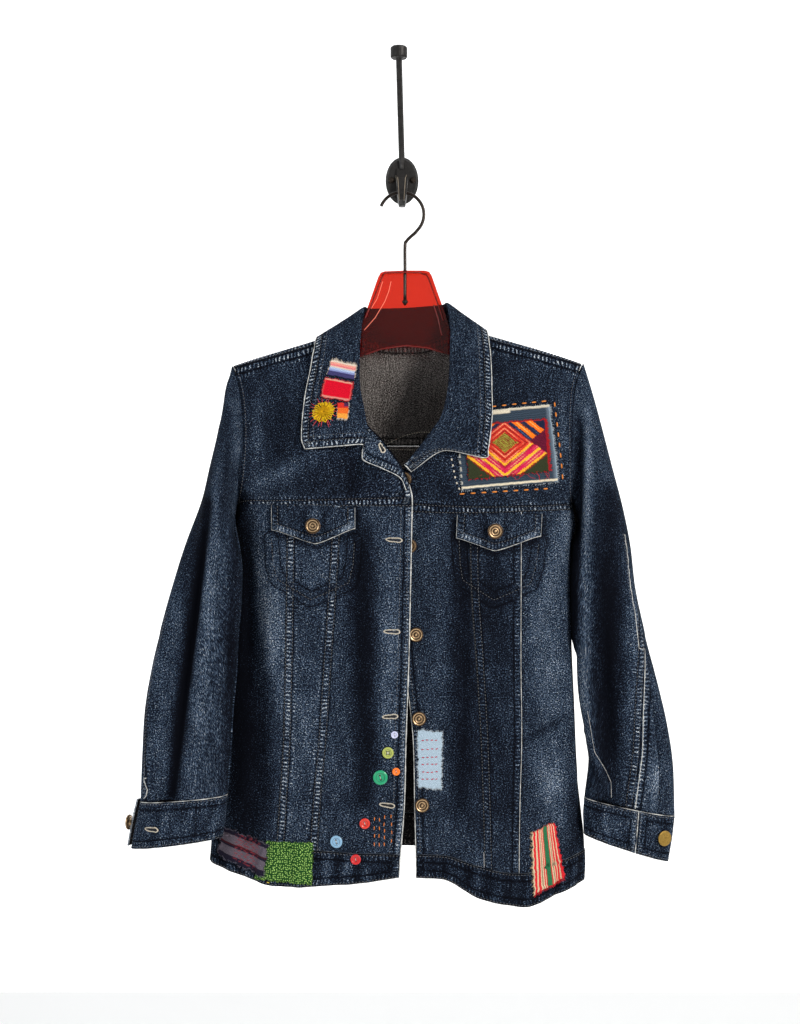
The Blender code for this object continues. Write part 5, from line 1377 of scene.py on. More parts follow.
def dotted(x, z, pitch, size):
    """Soft round dots, one in each cell of a loose grid."""
    away = np.full(x.shape, FAR)
    for i in (-1, 0, 1):
        for k in (-1, 0, 1):
            across, down = np.floor(x / pitch) + i, np.floor(z / pitch) + k
            dot_x = across + 0.15 + 0.7 * (np.sin(across * 127.1 + down * 311.7) * 4375.5 % 1)
            dot_z = down + 0.15 + 0.7 * (np.sin(across * 269.5 + down * 183.3) * 4375.5 % 1)
            away = np.minimum(away, np.hypot(x - dot_x * pitch, z - dot_z * pitch))
    return smoothstep((size - away) / (size * 0.7) + 0.5)


def lay_patch(name, points, colours, depth=0.35):
    lay_cloth(name, points, [painted(name + "_cloth", depth)], name, thickness=PATCH_CLOTH,
              paint=colours.reshape(-1, 3))


def frayed(points, *edges):
    """Loose thread ends that leave the sides of a patch: each side's count, length and spread."""
    strands, normals = Strands(), normals_of(points)
    rows = {"left": (points[:, 0], points[:, 1], normals[:, 0]),
            "right": (points[:, -1], points[:, -2], normals[:, -1]),
            "top": (points[0], points[1], normals[0]), "bottom": (points[-1], points[-2], normals[-1])}
    for side, count, length, *wide in edges:
        edge, inner, up = rows[side]
        spread = wide[0] if wide else FRAY_SPREAD
        for _ in range(count):
            place = RNG.uniform(0, len(edge) - 1.001)
            i = int(place)
            here = edge[i] + (edge[i + 1] - edge[i]) * (place - i)
            way = unit(edge[i] - inner[i]) + unit(edge[i + 1] - edge[i]) * RNG.uniform(-spread, spread)
            far = length * RNG.uniform(0.4, 1.2)
            lift = up[i] * RNG.uniform(0.1, 0.8)
            middle = here + way * far * 0.5 + lift * 1.3
            strands.add([here - way * 1.2, here + lift * 0.4, middle, here + way * far + lift], FRAY_RADIUS)
    return strands


def woven_diamond(x, z):
    """The colours of the woven cloth on the chest: a stepped diamond inside bands."""
    # The weave steps in small squares from the diamond's centre.
    centre_x, centre_z, step_x, step_z = 119.0, -328.6, 1.25, 1.05
    across, down = np.round((x - centre_x) / step_x), np.round(-(z - centre_z) / step_z)
    a, b = across * step_x, down * step_z
    r = np.abs(a) + 1.3 * np.abs(b)
    below = b > 0
    step = (across + down) % 2 == 0
    colours = layered(x.shape, (0.60, 0.035, 0.018))
    for ring in (18.2, 25.6):
        colours = mixed(colours, (0.26, 0.008, 0.010), smoothstep(1.5 - np.abs(r - ring)))
    for ring in (21.6, 29.4):
        row = smoothstep(1.4 - np.abs(r - ring)) * step
        colours = mixed(colours, (0.85, 0.42, 0.22), row * 0.8)
    inside = r < 15.2
    colours[inside] = (0.27, 0.25, 0.035)
    scratch = inside & ((across * 2 + down * 3 + np.round(a * b / 17)) % 5 < 1.5)
    colours[scratch] = (0.17, 0.030, 0.012)
    lower = (
        (31.3, 34.8, (0.86, 0.42, 0.025)), (34.8, 38.4, (0.33, 0.012, 0.03)),
        (38.4, 46.4, (0.55, 0.012, 0.07)), (46.4, 51.0, (0.86, 0.42, 0.025)),
        (51.0, 52.7, (0.33, 0.015, 0.03)), (52.7, 60.7, (0.55, 0.012, 0.07)),
        (60.7, 65.0, (0.80, 0.38, 0.025)), (65.0, 67.0, (0.22, 0.012, 0.012)),
        (67.0, 400, (0.028, 0.034, 0.015)),
    )
    upper = (
        (31.3, 33.0, (0.30, 0.02, 0.02)), (33.0, 39.3, (0.012, 0.018, 0.05)),
        (39.3, 48.2, (0.86, 0.17, 0.008)), (48.2, 50.0, (0.12, 0.03, 0.02)),
        (50.0, 57.0, (0.012, 0.018, 0.05)), (57.0, 67.0, (0.84, 0.15, 0.008)),
        (67.0, 400, (0.010, 0.014, 0.040)),
    )
    for bands, part in ((lower, below), (upper, ~below)):
        for start, end, colour in bands:
            colours[part & (r >= start) & (r < end)] = colour
    for rings, part, colour, share in (
        ((36.6, 42.4, 51.8, 56.9), below, (0.80, 0.45, 0.20), 0.8),
        ((44.5, 62.5), ~below, (0.90, 0.55, 0.20), 0.7), ((36.2, 53.5), ~below, (0.06, 0.12, 0.30), 0.8),
    ):
        for ring in rings:
            row = smoothstep(1.2 - np.abs(r - ring)) * step * part
            colours = mixed(colours, colour, row * share)
    wedge = (a > 30.4) & (np.abs(b + 2.7) < 0.72 * (a - 29.5))
    colours[wedge] = (0.070, 0.004, 0.016)
    colours[wedge & step] = (0.13, 0.008, 0.03)
    return colours


def make_chest_patches(cast):
    name = "chest_frame_patch"
    points, x, z, u, v = patch_grid(name, cast, 100, 74, 1.0, 10, 0.2)
    colours = layered(x.shape, (0.030, 0.046, 0.068)) * speck(x, z, 0.8)[..., None]
    colours = mixed(colours, (0.10, 0.13, 0.17), smoothstep((u - 0.945) / 0.03))
    colours = mixed(colours, (0.26, 0.34, 0.41), smoothstep((u - 0.985) / 0.01))
    line = smoothstep((v - 0.950) / 0.01) * smoothstep((0.982 - v) / 0.01)
    colours = mixed(colours, (0.68, 0.60, 0.45), line)
    strip = smoothstep((0.062 - v) / 0.01) * smoothstep((0.58 - u) / 0.02)
    colours = mixed(colours, (0.68, 0.60, 0.46), strip)
    colours = mixed(colours, (0.60, 0.54, 0.43), smoothstep((0.032 - v) / 0.008))
    colours = mixed(colours, (0.45, 0.43, 0.38), smoothstep((0.02 - u) / 0.01) * (np.sin(z * 0.8) > 0))
    lay_patch(name, points, colours)
    pale = grained("frame_fray", (0.42, 0.47, 0.52))
    edges = (("right", 150, 2.6), ("bottom", 110, 2.0), ("left", 60, 2.0), ("top", 70, 1.6))
    frayed(points, *edges).piece("chest_frame_fray", pale, name)
    on_frame = ground([*FRONT_PIECES, name])
    name = "chest_textile"
    points, x, z, u, v = patch_grid(name, on_frame, 112, 104, 1.3, 4, 0.4)
    colours = woven_diamond(x, z)
    colours = mixed(colours, (0.30, 0.008, 0.014), smoothstep((u - 0.972) / 0.008))
    colours = mixed(colours, (0.40, 0.012, 0.014), smoothstep((0.022 - v) / 0.008))
    colours = colours * speck(x * 2, z * 2, 0.12)[..., None]
    lay_patch(name, points, colours, depth=0.5)
    red = grained("textile_fray", (0.52, 0.012, 0.012))
    edges = (("right", 190, 2.4), ("top", 130, 1.8), ("bottom", 90, 2.4, 1.4), ("left", 60, 1.4))
    strands = frayed(points, *edges)
    for _ in range(16):
        # A loose thread that wanders down from the lower edge.
        start, normal = on_frame(RNG.uniform(90, 172), RNG.uniform(-366, -360))
        walk = [start + normal * 2.0]
        way = RNG.uniform(-0.6, 0.6)
        for _ in range(7):
            way += RNG.uniform(-0.5, 0.5)
            here = walk[-1] + np.array((1.9 * math.sin(way) + 0.4, 0, -1.1 * math.cos(way)))
            here[1] = min(here[1], on_frame(here[0], here[2])[0][1] - 0.6)
            walk.append(here)
        strands.add(walk, 0.24)
    strands.piece("chest_textile_fray", red, name)
    orange = grained("dash_thread", (0.80, 0.26, 0.05), dark=0.7)
    sewing = Sewing()
    for line in (((104, -285.5), (178, -276.5)), ((180.5, -278), (189, -376)), ((66, -388), (176, -381))):
        stitch_line(sewing, on_frame, line, 12.6, 6.6, 1.9, 0.8, 0.5)
    sewing.piece("chest_dashes", orange, "chest_frame_patch")
    sewing = Sewing()
    stitch_line(sewing, on_frame, ((57, -346), (62, -372), (67, -384)), 7.0, 3.2, 2.0, 0.8, 0.5)
    sewing.piece("chest_side_stitches", bpy.data.materials["buttonhole_thread"], "chest_frame_patch")


def striped(u, x, z, stripes):
    """Bands of colour across a patch: each begins at a share of its width."""
    colours = layered(x.shape, stripes[0][1])
    wander = u + 0.003 * np.sin(z * 0.6)
    for start, colour in stripes[1:]:
        colours = mixed(colours, colour, smoothstep((wander - start) / 0.010 + 0.5))
    return colours * speck(x * 1.5, z * 1.5, 0.15)[..., None]


CREAM, RED, TAN = (0.62, 0.47, 0.31), (0.64, 0.022, 0.030), (0.20, 0.10, 0.045)
LEAF_GREEN = (0.025, 0.15, 0.065)


def make_hem_patches(cast):
    name = "light_denim_patch"
    points, x, z, u, v = patch_grid(name, cast, 40, 70, 0.9, 8, 0.5)
    washed = layered(x.shape, (0.36, 0.46, 0.55)) * speck(x * 1.4, z * 1.4, 0.30)[..., None]
    lay_patch(name, points, washed)
    pale = grained("washed_fray", (0.55, 0.62, 0.68))
    red = grained("red_thread", (0.62, 0.012, 0.03), dark=0.7)
    edges = (("left", 110, 2.2), ("right", 110, 2.2), ("top", 50, 2.2), ("bottom", 60, 2.2))
    frayed(points, *edges).piece("light_denim_fray", pale, name)
    on_patch = ground([*FRONT_PIECES, name])
    sewing = Sewing()
    for top in (-674.5, -685, -694.5, -702.5, -711.5, -720):
        for column in range(4):
            x_at = 22.5 + column * 5.3 + RNG.uniform(-0.5, 0.5)
            start, normal = on_patch(x_at, top + RNG.uniform(-0.6, 0.6))
            end, _ = on_patch(x_at + 3.3, top + RNG.uniform(-0.6, 0.6))
            sewing.stitch(start + normal * 0.1, end + normal * 0.1, normal, 1.0, 0.6)
    sewing.piece("light_denim_stitches", red, name)

    name = "striped_patch"
    points, x, z, u, v = patch_grid(name, cast, 130, 66, 1.2, 8, 0.5)
    stripes = (
        (0, CREAM), (0.04, RED), (0.12, CREAM), (0.18, RED), (0.25, CREAM), (0.29, TAN), (0.31, CREAM),
        (0.35, RED), (0.38, CREAM), (0.41, RED), (0.44, LEAF_GREEN), (0.61, RED), (0.64, CREAM), (0.68, TAN),
        (0.70, CREAM), (0.73, RED), (0.78, CREAM), (0.82, RED), (0.89, CREAM), (0.93, RED),
    )
    lay_patch(name, points, striped(u, x, z, stripes))
    cream, crimson = grained("striped_fray", CREAM), grained("striped_red_fray", RED)
    frayed(points, ("left", 130, 3.0), ("top", 30, 1.6)).piece("striped_cream_fray", cream, name)
    strands = frayed(points, ("bottom", 120, 3.4), ("right", 60, 1.6), ("top", 40, 1.6))
    strands.piece("striped_red_fray", crimson, name)

    name = "green_patch"
    points, x, z, u, v = patch_grid(name, cast, 150, 104, 0.9, 8, 0.3)
    dots = dotted(x, z, 2.5, 0.56)
    colours = mixed(layered(x.shape, (0.014, 0.060, 0.012)), (0.42, 0.70, 0.17), dots)
    lay_patch(name, points, colours)
    green = grained("green_fray", (0.16, 0.30, 0.05))
    strands = frayed(points, ("bottom", 120, 1.8), ("right", 50, 1.4), ("top", 60, 1.2))
    strands.piece("green_patch_fray", green, name)
    yellow = grained("yellow_thread", (0.85, 0.62, 0.08), dark=0.7)
    sewing = Sewing()
    start, normal = ground([*FRONT_PIECES, name])(-156.5, -843)
    sewing.stitch(start - np.array((2.5, 0, -0.5)), start + np.array((2.5, 0, -0.8)), normal, 1.2, 0.7)
    sewing.piece("green_patch_stitch", yellow, name)

    name = "dark_striped_patch"
    points, x, z, u, v = patch_grid(name, ground([*FRONT_PIECES, "green_patch"]), 70, 48, 1.2, 8, 0.7)
    mauve, maroon, navy = (0.115, 0.095, 0.12), (0.055, 0.010, 0.014), (0.012, 0.010, 0.022)
    bands = ((0, navy), (0.12, mauve), (0.40, maroon), (0.46, navy), (0.53, mauve), (0.82, navy))
    colours = striped(v, x, z, bands) * speck(x * 1.3, z * 1.3, 0.7)[..., None]
    blots = np.sin(x * 0.85 + 1.9 * np.sin(z * 0.9)) + np.sin(z * 2.0 + x * 0.6 + 1.9 * np.sin(x * 0.37))
    cross = smoothstep((0.30 - np.abs(u - 0.58)) / 0.08) * smoothstep((blots - 0.35) / 0.5)
    colours = mixed(colours, (0.24, 0.030, 0.040), cross * 0.75 * smoothstep((0.95 - v) / 0.05))
    lay_patch(name, points, colours)
    ragged = grained("dark_striped_fray", (0.13, 0.12, 0.16))
    edges = (("left", 60, 2.4), ("top", 120, 2.4), ("bottom", 90, 2.4), ("right", 50, 2.4))
    frayed(points, *edges).piece("dark_striped_patch_fray", ragged, name)


def make_collar_patches(cast):
    name = "collar_ribbon"
    points, x, z, u, v = patch_grid(name, cast, 50, 40, 1.0, 4, 0.3)
    bands = (
        (0, (0.72, 0.60, 0.48)), (0.12, (0.80, 0.32, 0.25)), (0.26, (0.75, 0.18, 0.20)),
        (0.36, (0.72, 0.52, 0.42)), (0.46, (0.42, 0.52, 0.72)), (0.60, (0.24, 0.28, 0.55)),
        (0.72, (0.05, 0.045, 0.14)),
    )
    lay_patch(name, points, striped(v, x, z, bands))
    cream = grained("ribbon_fray", (0.72, 0.62, 0.52))
    strands = frayed(points, ("top", 90, 3.0), ("left", 40, 1.8), ("right", 40, 1.8))
    strands.piece("collar_ribbon_fray", cream, name)

    name = "collar_red_patch"
    points, x, z, u, v = patch_grid(name, ground(["collar", "collar_ribbon"]), 50, 40, 1.0, 4, 0.3)
    bands = ((0, (0.72, 0.30, 0.22)), (0.09, (0.68, 0.004, 0.022)), (0.90, (0.70, 0.25, 0.20)))
    colours = striped(v, x, z, bands)
    side = np.minimum(u, 1 - u)
    colours = mixed(colours, (0.62, 0.10, 0.09), smoothstep((0.045 - side) / 0.02) * 0.8)
    lay_patch(name, points, colours)
    red = grained("red_patch_fray", (0.62, 0.03, 0.035))
    edges = (("top", 50, 1.9), ("bottom", 60, 1.9), ("left", 40, 1.9), ("right", 40, 1.9))
    frayed(points, *edges).piece("collar_red_fray", red, name)

    name = "collar_orange_patch"
    points, x, z, u, v = patch_grid(name, cast, 24, 34, 1.0, 4, 0.3)
    bands = ((0, (0.66, 0.03, 0.02)), (0.35, (0.80, 0.14, 0.02)), (0.70, (0.85, 0.34, 0.05)))
    colours = striped(v, x, z, bands)
    colours = mixed(colours, (0.07, 0.02, 0.07), smoothstep((u - 0.55) / 0.1) * smoothstep((0.30 - v) / 0.1))
    lay_patch(name, points, colours)
    strands = frayed(points, ("bottom", 50, 2.6), ("right", 40, 1.8), ("left", 20, 1.4))
    strands.piece("collar_orange_fray", cream, name)
    make_rosette(cast)


def frame_at(centre, normal):
    """A matrix that stands a small thing on a place in millimetres."""
    turn = Vector(normal).to_track_quat("Z", "X").to_matrix().to_4x4()
    return Matrix.Translation(Vector(centre) * MM) @ turn


def standing(place, points):
    """The points of a small thing, moved to where it stands."""
    return [tuple(place @ (Vector(point) * MM) / MM) for point in points]


# A yarn's path: shares of its reach, how far it swings aside, and heights.
YARN_LOOP = ((0.15, 0, 1.4), (0.55, -1, 2.6), (0.88, -0.8, 2.6), (1.0, 0, 2.1), (0.88, 0.8, 1.4),
             (0.5, 1, 1.2), (0.15, 0, 1.4))
YARN_MIDDLE = ((0.05, 0, 2.2), (0.30, -0.2, 3.9), (0.50, 0, 3.8), (0.34, 0.2, 3.0), (0.05, 0, 2.2))
YARN_END = ((0.1, 0, 1.0), (0.7, 0, 1.5), (1.0, 0, 0.9))


def yarn_path(reach, turn, wide, stations):
    path = []
    for share, swing, height in stations:
        angle = turn + swing * wide
        path.append((reach * share * math.cos(angle), reach * share * math.sin(angle), height))
    return path


def make_rosette(cast):
    """A yarn rosette: yellow loops around a centre, with pink ends beneath them."""
    x, z, radius = ROSETTE
    place = frame_at(*cast(x, z))
    yellow = grained("yellow_yarn", (0.88, 0.55, 0.012), dark=0.45, grain=1.4)
    deep = grained("ochre_yarn", (0.74, 0.40, 0.006), dark=0.3, grain=1.4)
    pink = grained("pink_yarn", (0.66, 0.06, 0.07), dark=0.5)
    loops, inner, ends = Strands(6), Strands(6), Strands(4)
    for k in range(26):
        turn = 2 * math.pi * k / 26 + RNG.uniform(-0.08, 0.08)
        reach = radius * RNG.uniform(0.84, 1.0)
        wide = RNG.uniform(0.10, 0.16)
        loops.add(standing(place, yarn_path(reach, turn, wide, YARN_LOOP)), 0.62, 1.0)
    for k in range(14):
        turn = 2 * math.pi * k / 14 + RNG.uniform(-0.15, 0.15)
        inner.add(standing(place, yarn_path(radius, turn, 1, YARN_MIDDLE)), 0.62, 1.0)
    for k in range(20):
        turn = 2 * math.pi * k / 20 + RNG.uniform(-0.12, 0.12)
        reach = radius * RNG.uniform(1.12, 1.5)
        ends.add(standing(place, yarn_path(reach, turn, 0, YARN_END)), 0.42, 0.7)
    made = loops.piece("rosette_loops", yellow, "rosette")
    inner.piece("rosette_middle", deep, "rosette")
    ends.piece("rosette_ends", pink, "rosette")
    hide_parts("rosette")


def turned(name, profile, diameter, centre, normal, one, steps=40):
    """A turned piece from shares of the radius and heights, down its outer side."""
    r = diameter / 2
    angles = np.arange(steps) * 2 * math.pi / steps
    rings = [(share * r, height) for share, height in profile if share > 0]
    points = [(0, 0, profile[0][1])]
    for radius, height in rings:
        points.extend(zip(radius * np.cos(angles), radius * np.sin(angles), np.full(steps, height)))
    faces = [(0, 1 + i, 1 + (i + 1) % steps) for i in range(steps)]
    for k in range(len(rings) - 1):
        a, b = 1 + k * steps, 1 + (k + 1) * steps
        faces.extend((a + i, b + i, b + (i + 1) % steps, a + (i + 1) % steps) for i in range(steps))
    last = 1 + (len(rings) - 1) * steps
    faces.append(tuple(range(last + steps - 1, last - 1, -1)))
    placed = standing(frame_at(centre, normal), points)
    return new_piece(name, placed, faces, [one], np.array(points)[:, :2])


BRASS = ((0.15, (0.020, 0.012, 0.008)), (0.45, (0.13, 0.075, 0.038)), (0.8, (0.55, 0.38, 0.21)))


def aged_metal():
    """Antique brass: bright on its raised rings, nearly black in the grooves between them."""
    made, tree, shader = finish("antique_brass", (0.3, 0.2, 0.1), 0.38, 0.85)
    place = cloth_coordinates(tree)
    away = node(tree, "VectorMath", {0: place}, operation="LENGTH").outputs["Value"]
    ring = calc(tree, "SINE", times(tree, away, 2 * math.pi / 2.9))
    spots = noise(tree, stretched(tree, place, 0.8, 0.8), detail=3.0)
    value = added(tree, times(tree, spots, 0.9), (ring, 0.28))
    tinted(tree, shader, value, BRASS)
    return made


def make_shanks(cast, under):
    metal = aged_metal()
    gold = speckled("golden_brass", (0.42, 0.26, 0.06), 0.38, 0.9, 500, 0.6, 0.1)
    for name, x, z, diameter in SHANKS:
        centre, normal = (under if name.startswith("front") else cast)(x, z)
        made = turned(name + "_cap", SHANK_PROFILE, diameter, centre + normal * 0.3, normal, metal)
        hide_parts(name)
    for name, ring, angle, spread, profile, one in (
        ("cuff_button_left", LEFT_CUFF, 352, (-6, 6), SHANK_PROFILE, metal),
        ("cuff_button_right", RIGHT_CUFF, 46, (0, 0), FLAT_PROFILE, gold),
    ):
        row = {key: values[1] for key, values in ring.items()}
        here = ring_point(row, angle) + np.array((*spread, 0))
        around = ring_point(row, angle + 4) - ring_point(row, angle - 4)
        normal = unit(np.cross(around, (0, 0, 1)))
        middle = (ring_point(row, 90) + ring_point(row, 270)) / 2
        if np.dot(normal, here - middle) < 0:
            normal = -normal
        made = turned(name + "_cap", profile, CUFF_BUTTON, here + normal * 1.2, normal, one)
        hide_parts(name)


def make_sewn_buttons(cast):
    # Near black for the button holes: painted shade.
    dark, _, _ = finish("button_hole", (0.01, 0.01, 0.012), 0.8)
    thread = grained("button_thread", (0.78, 0.76, 0.70))
    for name, x, z, diameter, holes, colour in SEWN_BUTTONS:
        plastic, _, shader = finish(name, colour, 0.28)
        shader.inputs["Coat Weight"].default_value = 0.3
        centre, normal = cast(x, z)
        seat = centre + normal * 0.35
        made = turned(name + "_disc", SEWN_PROFILE, diameter, seat, normal, plastic)
        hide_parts(name)
        place = frame_at(seat, normal)
        r = diameter / 2
        reach, first = (r * 0.29, 45) if holes == 4 else (r * 0.27, 15)
        dots, threads, shade_ring = Strands(8), Strands(4), Strands(5)
        # A dark ring in the corner of the button's dish: painted shade.
        turns = np.radians(np.arange(0, 361, 12))
        ring = [(r * 0.60 * math.cos(turn), r * 0.60 * math.sin(turn), 1.62) for turn in turns]
        shade_ring.add(standing(place, ring), r * 0.045, 1.0)
        shade, _, _ = finish(name + "_shade", tuple(c * 0.35 for c in colour), 0.6)
        shade_ring.piece(name + "_shade_ring", shade, name)
        angles = [math.radians(360 * k / holes + first) for k in range(holes)]
        spots = [(reach * math.cos(angle), reach * math.sin(angle)) for angle in angles]
        for a, b in spots:
            dots.add(standing(place, [(a, b, 1.1), (a, b, 1.36)]), max(r * 0.155, 0.6), 1.0)
        for (a, b), (c, d) in zip(spots[: holes // 2], spots[holes // 2:]):
            way = [(a, b, 1.2), (a * 0.8, b * 0.8, 1.7), (c * 0.8, d * 0.8, 1.7), (c, d, 1.2)]
            threads.add(standing(place, way), 0.26, 1.0)
        dots.piece(name + "_hole_shades", dark, name)
        threads.piece(name + "_thread", thread, name)


def make_topstitching():
    """Tonal rows of stitches beside the seams and along the edges."""
    thread = grained("topstitch", (0.20, 0.20, 0.205), dark=0.6)
    rows = (
        ("front_left_middle", "left right", (0.9, 8.6)), ("front_right_middle", "left", (0.9, 8.6)),
        ("front_yoke_left", "bottom", (0.8, 9.2)), ("front_yoke_right", "bottom", (0.8, 9.2)),
        ("front_yoke_left", "left", (3.0,)), ("front_yoke_right", "right", (3.0,)),
        ("front_left_centre", "right", (4.5, 13.0)), ("front_right_centre", "left", (5.5,)),
        ("hem_band_left", "top bottom", (2.0,)), ("hem_band_right", "top bottom", (2.0,)),
        ("hem_band_back", "top bottom", (2.0,)), ("back_yoke", "bottom", (0.8, 9.2)),
        ("back_yoke", "top", (1.6, 7.6)), ("back_yoke", "left right", (3.0,)),
        ("back_centre", "left right", (0.9, 8.6)), ("cuff_left", "top bottom right", (2.6,)),
        ("cuff_right", "top bottom left right", (2.6,)), ("collar", "right top bottom", (8.6, 15.0)),
        ("facing_corner", "left", (4.0,)), ("pocket_flap_left", "bottom left right", (8.6,)),
        ("pocket_flap_right", "bottom left right", (8.6,)),
    )
    for number, (name, sides, distances) in enumerate(rows):
        sewing = Sewing()
        lift = 1.0 if "band" in name or "cuff" in name else CLOTH / 2
        for side in sides.split():
            for distance in distances:
                line, up = line_on(name, side, distance)
                sewing.run(line, up, width=0.55, lift=lift)
        sewing.piece(f"topstitch_{number}_{name}", thread)


def cast_line(cast, line, step=1.5):
    """Points and normals where a broken line in the front view falls on the pieces behind it."""
    line = np.array(line, float)
    walked = walk_along(line)
    places = np.arange(0, walked[-1], step)
    spots = [cast(np.interp(at, walked, line[:, 0]), np.interp(at, walked, line[:, 1])) for at in places]
    return np.array([spot[0] for spot in spots]), np.array([spot[1] for spot in spots])


def stitch_line(sewing, cast, line, pitch, length, width, height, lift=0.0):
    sewing.run(*cast_line(cast, line), pitch, length, width, height, lift)


def make_worn_edges():
    """White lines where the indigo has worn off the edges of the cloth."""
    white = grained("worn_edge", (0.62, 0.62, 0.60), dark=0.35, grain=0.35)
    cords = Strands(5)
    waves = np.random.default_rng(21)
    lines = []
    for name, sides, radius, below, start in WORN_EDGES:
        for side in sides.split():
            line, up = line_on(name, side, 0.35, start)
            low = line[:, 2] < below
            lines.append((line[low], up[low], radius))
    for piece, line, radius in WORN_LINES:
        points, up = cast_line(ground([piece]), line, 2.5)
        lines.append((points - up * 0.6, up, radius))
    for line, up, radius in lines:
        walked = np.arange(len(line))
        worn = 0.85 + 0.15 * np.sin(walked * 0.9 + waves.uniform(0, 6)) + 0.12 * np.sin(walked * 0.31)
        cords.add(line + up * (0.85 - radius * 0.4), radius * worn, 1.0)
    cords.piece("worn_edges", white)


def make_pocket_stitches(cast):
    thread = bpy.data.materials["topstitch"]
    sewing = Sewing()
    for pocket in (LEFT_POCKET, RIGHT_POCKET):
        stitch_line(sewing, cast, pocket, STITCH_PITCH, STITCH_LENGTH, 0.5, 0.35)
    for piece, lines in SLEEVE_SEWN.items():
        on_sleeve = ground([f"sleeve_{piece}"])
        for line in lines:
            for step in (2.0, 8.6):
                moved = [(x - step, z) for x, z in line]
                stitch_line(sewing, on_sleeve, moved, STITCH_PITCH, STITCH_LENGTH, 0.5, 0.35)
    sewing.piece("topstitch_pockets", thread)


def make_buttonholes(cast):
    """Cream whipped buttonholes: a slit, drawn as a strip of painted shade, with a ring of close stitches and
    an eye at its end.
    """
    cream = grained("buttonhole_thread", (0.74, 0.67, 0.56))
    # A near-black strip in each slit: painted shade.
    dark, _, _ = finish("buttonhole_slit", (0.006, 0.006, 0.008), 0.9)
    sewing, slit_shades = Sewing(), Strands(4)
    holes = [(*row, cast) for row in BUTTONHOLES]
    holes.append((*CORNER_BUTTONHOLE, ground(["facing_corner"])))
    holes.append((*CUFF_BUTTONHOLE, ground(["cuff_left"])))
    for x, z, length, lean, on in holes:
        turn = math.radians(lean)
        way = np.array((math.cos(turn), -math.sin(turn)))
        side = np.array((way[1], -way[0]))
        ends = []
        for share in (-0.36, 0.34):
            point, normal = on(*(np.array((x, z)) + way * length * share))
            ends.append(point + normal * 0.1)
        slit_shades.add(ends, 1.15, 1.0)
        for k in range(HOLE_STITCHES):
            turn_at = 2 * math.pi * k / HOLE_STITCHES
            out = np.array((math.cos(turn_at), math.sin(turn_at)))
            wide = 2.1 + 1.2 * smoothstep((out[0] - 0.1) / 0.7)
            middle = way * out[0] * length * 0.46 + side * out[1] * wide
            tilt = way * out[0] * 0.9 + side * out[1] * 1.1
            here, normal = on(*(np.array((x, z)) + middle - tilt * RNG.uniform(0.6, 1.1)))
            there, _ = on(*(np.array((x, z)) + middle + tilt * RNG.uniform(0.6, 1.1)))
            sewing.stitch(here, there, normal, 0.95, 0.9)
    sewing.piece("buttonhole_thread", cream)
    slit_shades.piece("buttonhole_slit_shades", dark)


def make_running_stitches(cast):
    """Small rows of orange stitches beside the lowest buttonhole."""
    orange = grained("orange_thread", (0.80, 0.22, 0.03), dark=0.7)
    sewing = Sewing()
    for column, top, rows in ((-32, -766, 4), (-26.5, -767, 4), (-20.5, -764, 5), (-12.5, -762, 4)):
        for row in range(rows):
            x = column + RNG.uniform(-0.5, 0.5)
            z = top - row * 38.0 / rows + RNG.uniform(-0.8, 0.8)
            start, normal = cast(x, z + 2.7)
            end, _ = cast(x + RNG.uniform(-0.6, 0.6), z - 2.7)
            sewing.stitch(start, end, normal, 0.95, 0.5)
    sewing.piece("orange_stitches", orange)


def make_inside_stitches():
    """Cream rows inside the back, seen through the neck: below the yoke, and an arc above it."""
    cream = grained("inside_thread", (0.78, 0.71, 0.58), dark=0.7)
    sewing = Sewing()
    inner = ground(["back_yoke", "back_centre"])
    toward = np.array((0, -1.0, 0))
    for x0, z0, x1, z1, rise in (
        (-16, -332.0, 27, -333.5, 0), (-19.5, -326, 40, -311, 5), (22, -327, 22, -344, 0),
    ):
        spots = []
        for share in shares(40):
            x, z = x0 + (x1 - x0) * share, z0 + (z1 - z0) * share + rise * math.sin(math.pi * share)
            spots.append(inner(x, z)[0] + toward * (CLOTH + 1.2))
        line = np.array(spots)
        sewing.run(line, np.tile(toward, (len(line), 1)), 3.0, 2.4, 1.1, 0.5, 0.0)
    sewing.piece("inside_stitches", cream)


def dress(made, one):
    made.data.materials.clear()
    made.data.materials.append(one)


def make_hanger(frame):
    """The moulded hanger: clear red plastic with a bevelled rim, painted highlights on its ribs and painted
    shade along its rim.
    """
    red, _, shader = finish("hanger_plastic", (0.50, 0.020, 0.008), 0.08)
    shader.inputs["IOR"].default_value = 1.35
    shader.inputs["Transmission Weight"].default_value = 0.95
    made = frame["nodes"]["hanger"]
    dress(made, red)
    edge = made.modifiers.new("edge", "BEVEL")
    edge.width = 0.7 * MM
    edge.segments = 2
    edge.limit_method = "ANGLE"
    # Painted highlights along the moulded ribs, and painted shade along the rim.
    bright, _, _ = finish("hanger_highlight", (0.95, 0.22, 0.14), 0.3)
    deep, _, _ = finish("hanger_rim", (0.16, 0.006, 0.004), 0.3)
    cast = on_solid(made)
    for kind, one, lines, radius in (
        ("highlights", bright, HANGER_HIGHLIGHTS, 0.45), ("rim_shade_lines", deep, HANGER_RIM_SHADE_LINES, 0.75),
    ):
        strands = Strands(6)
        for line in lines:
            points, up = cast_line(cast, line, 2.0)
            strands.add(points + up * 0.2, radius, 1.0)
        strands.piece("hanger_" + kind, one, "hanger_plastic")


def wire(name, points, radii, one):
    strands = Strands(14, (0.02, 1.0, 0.05))
    strands.add(points, radii, 1.0)
    return strands.piece(name, one, "hanger_wire")


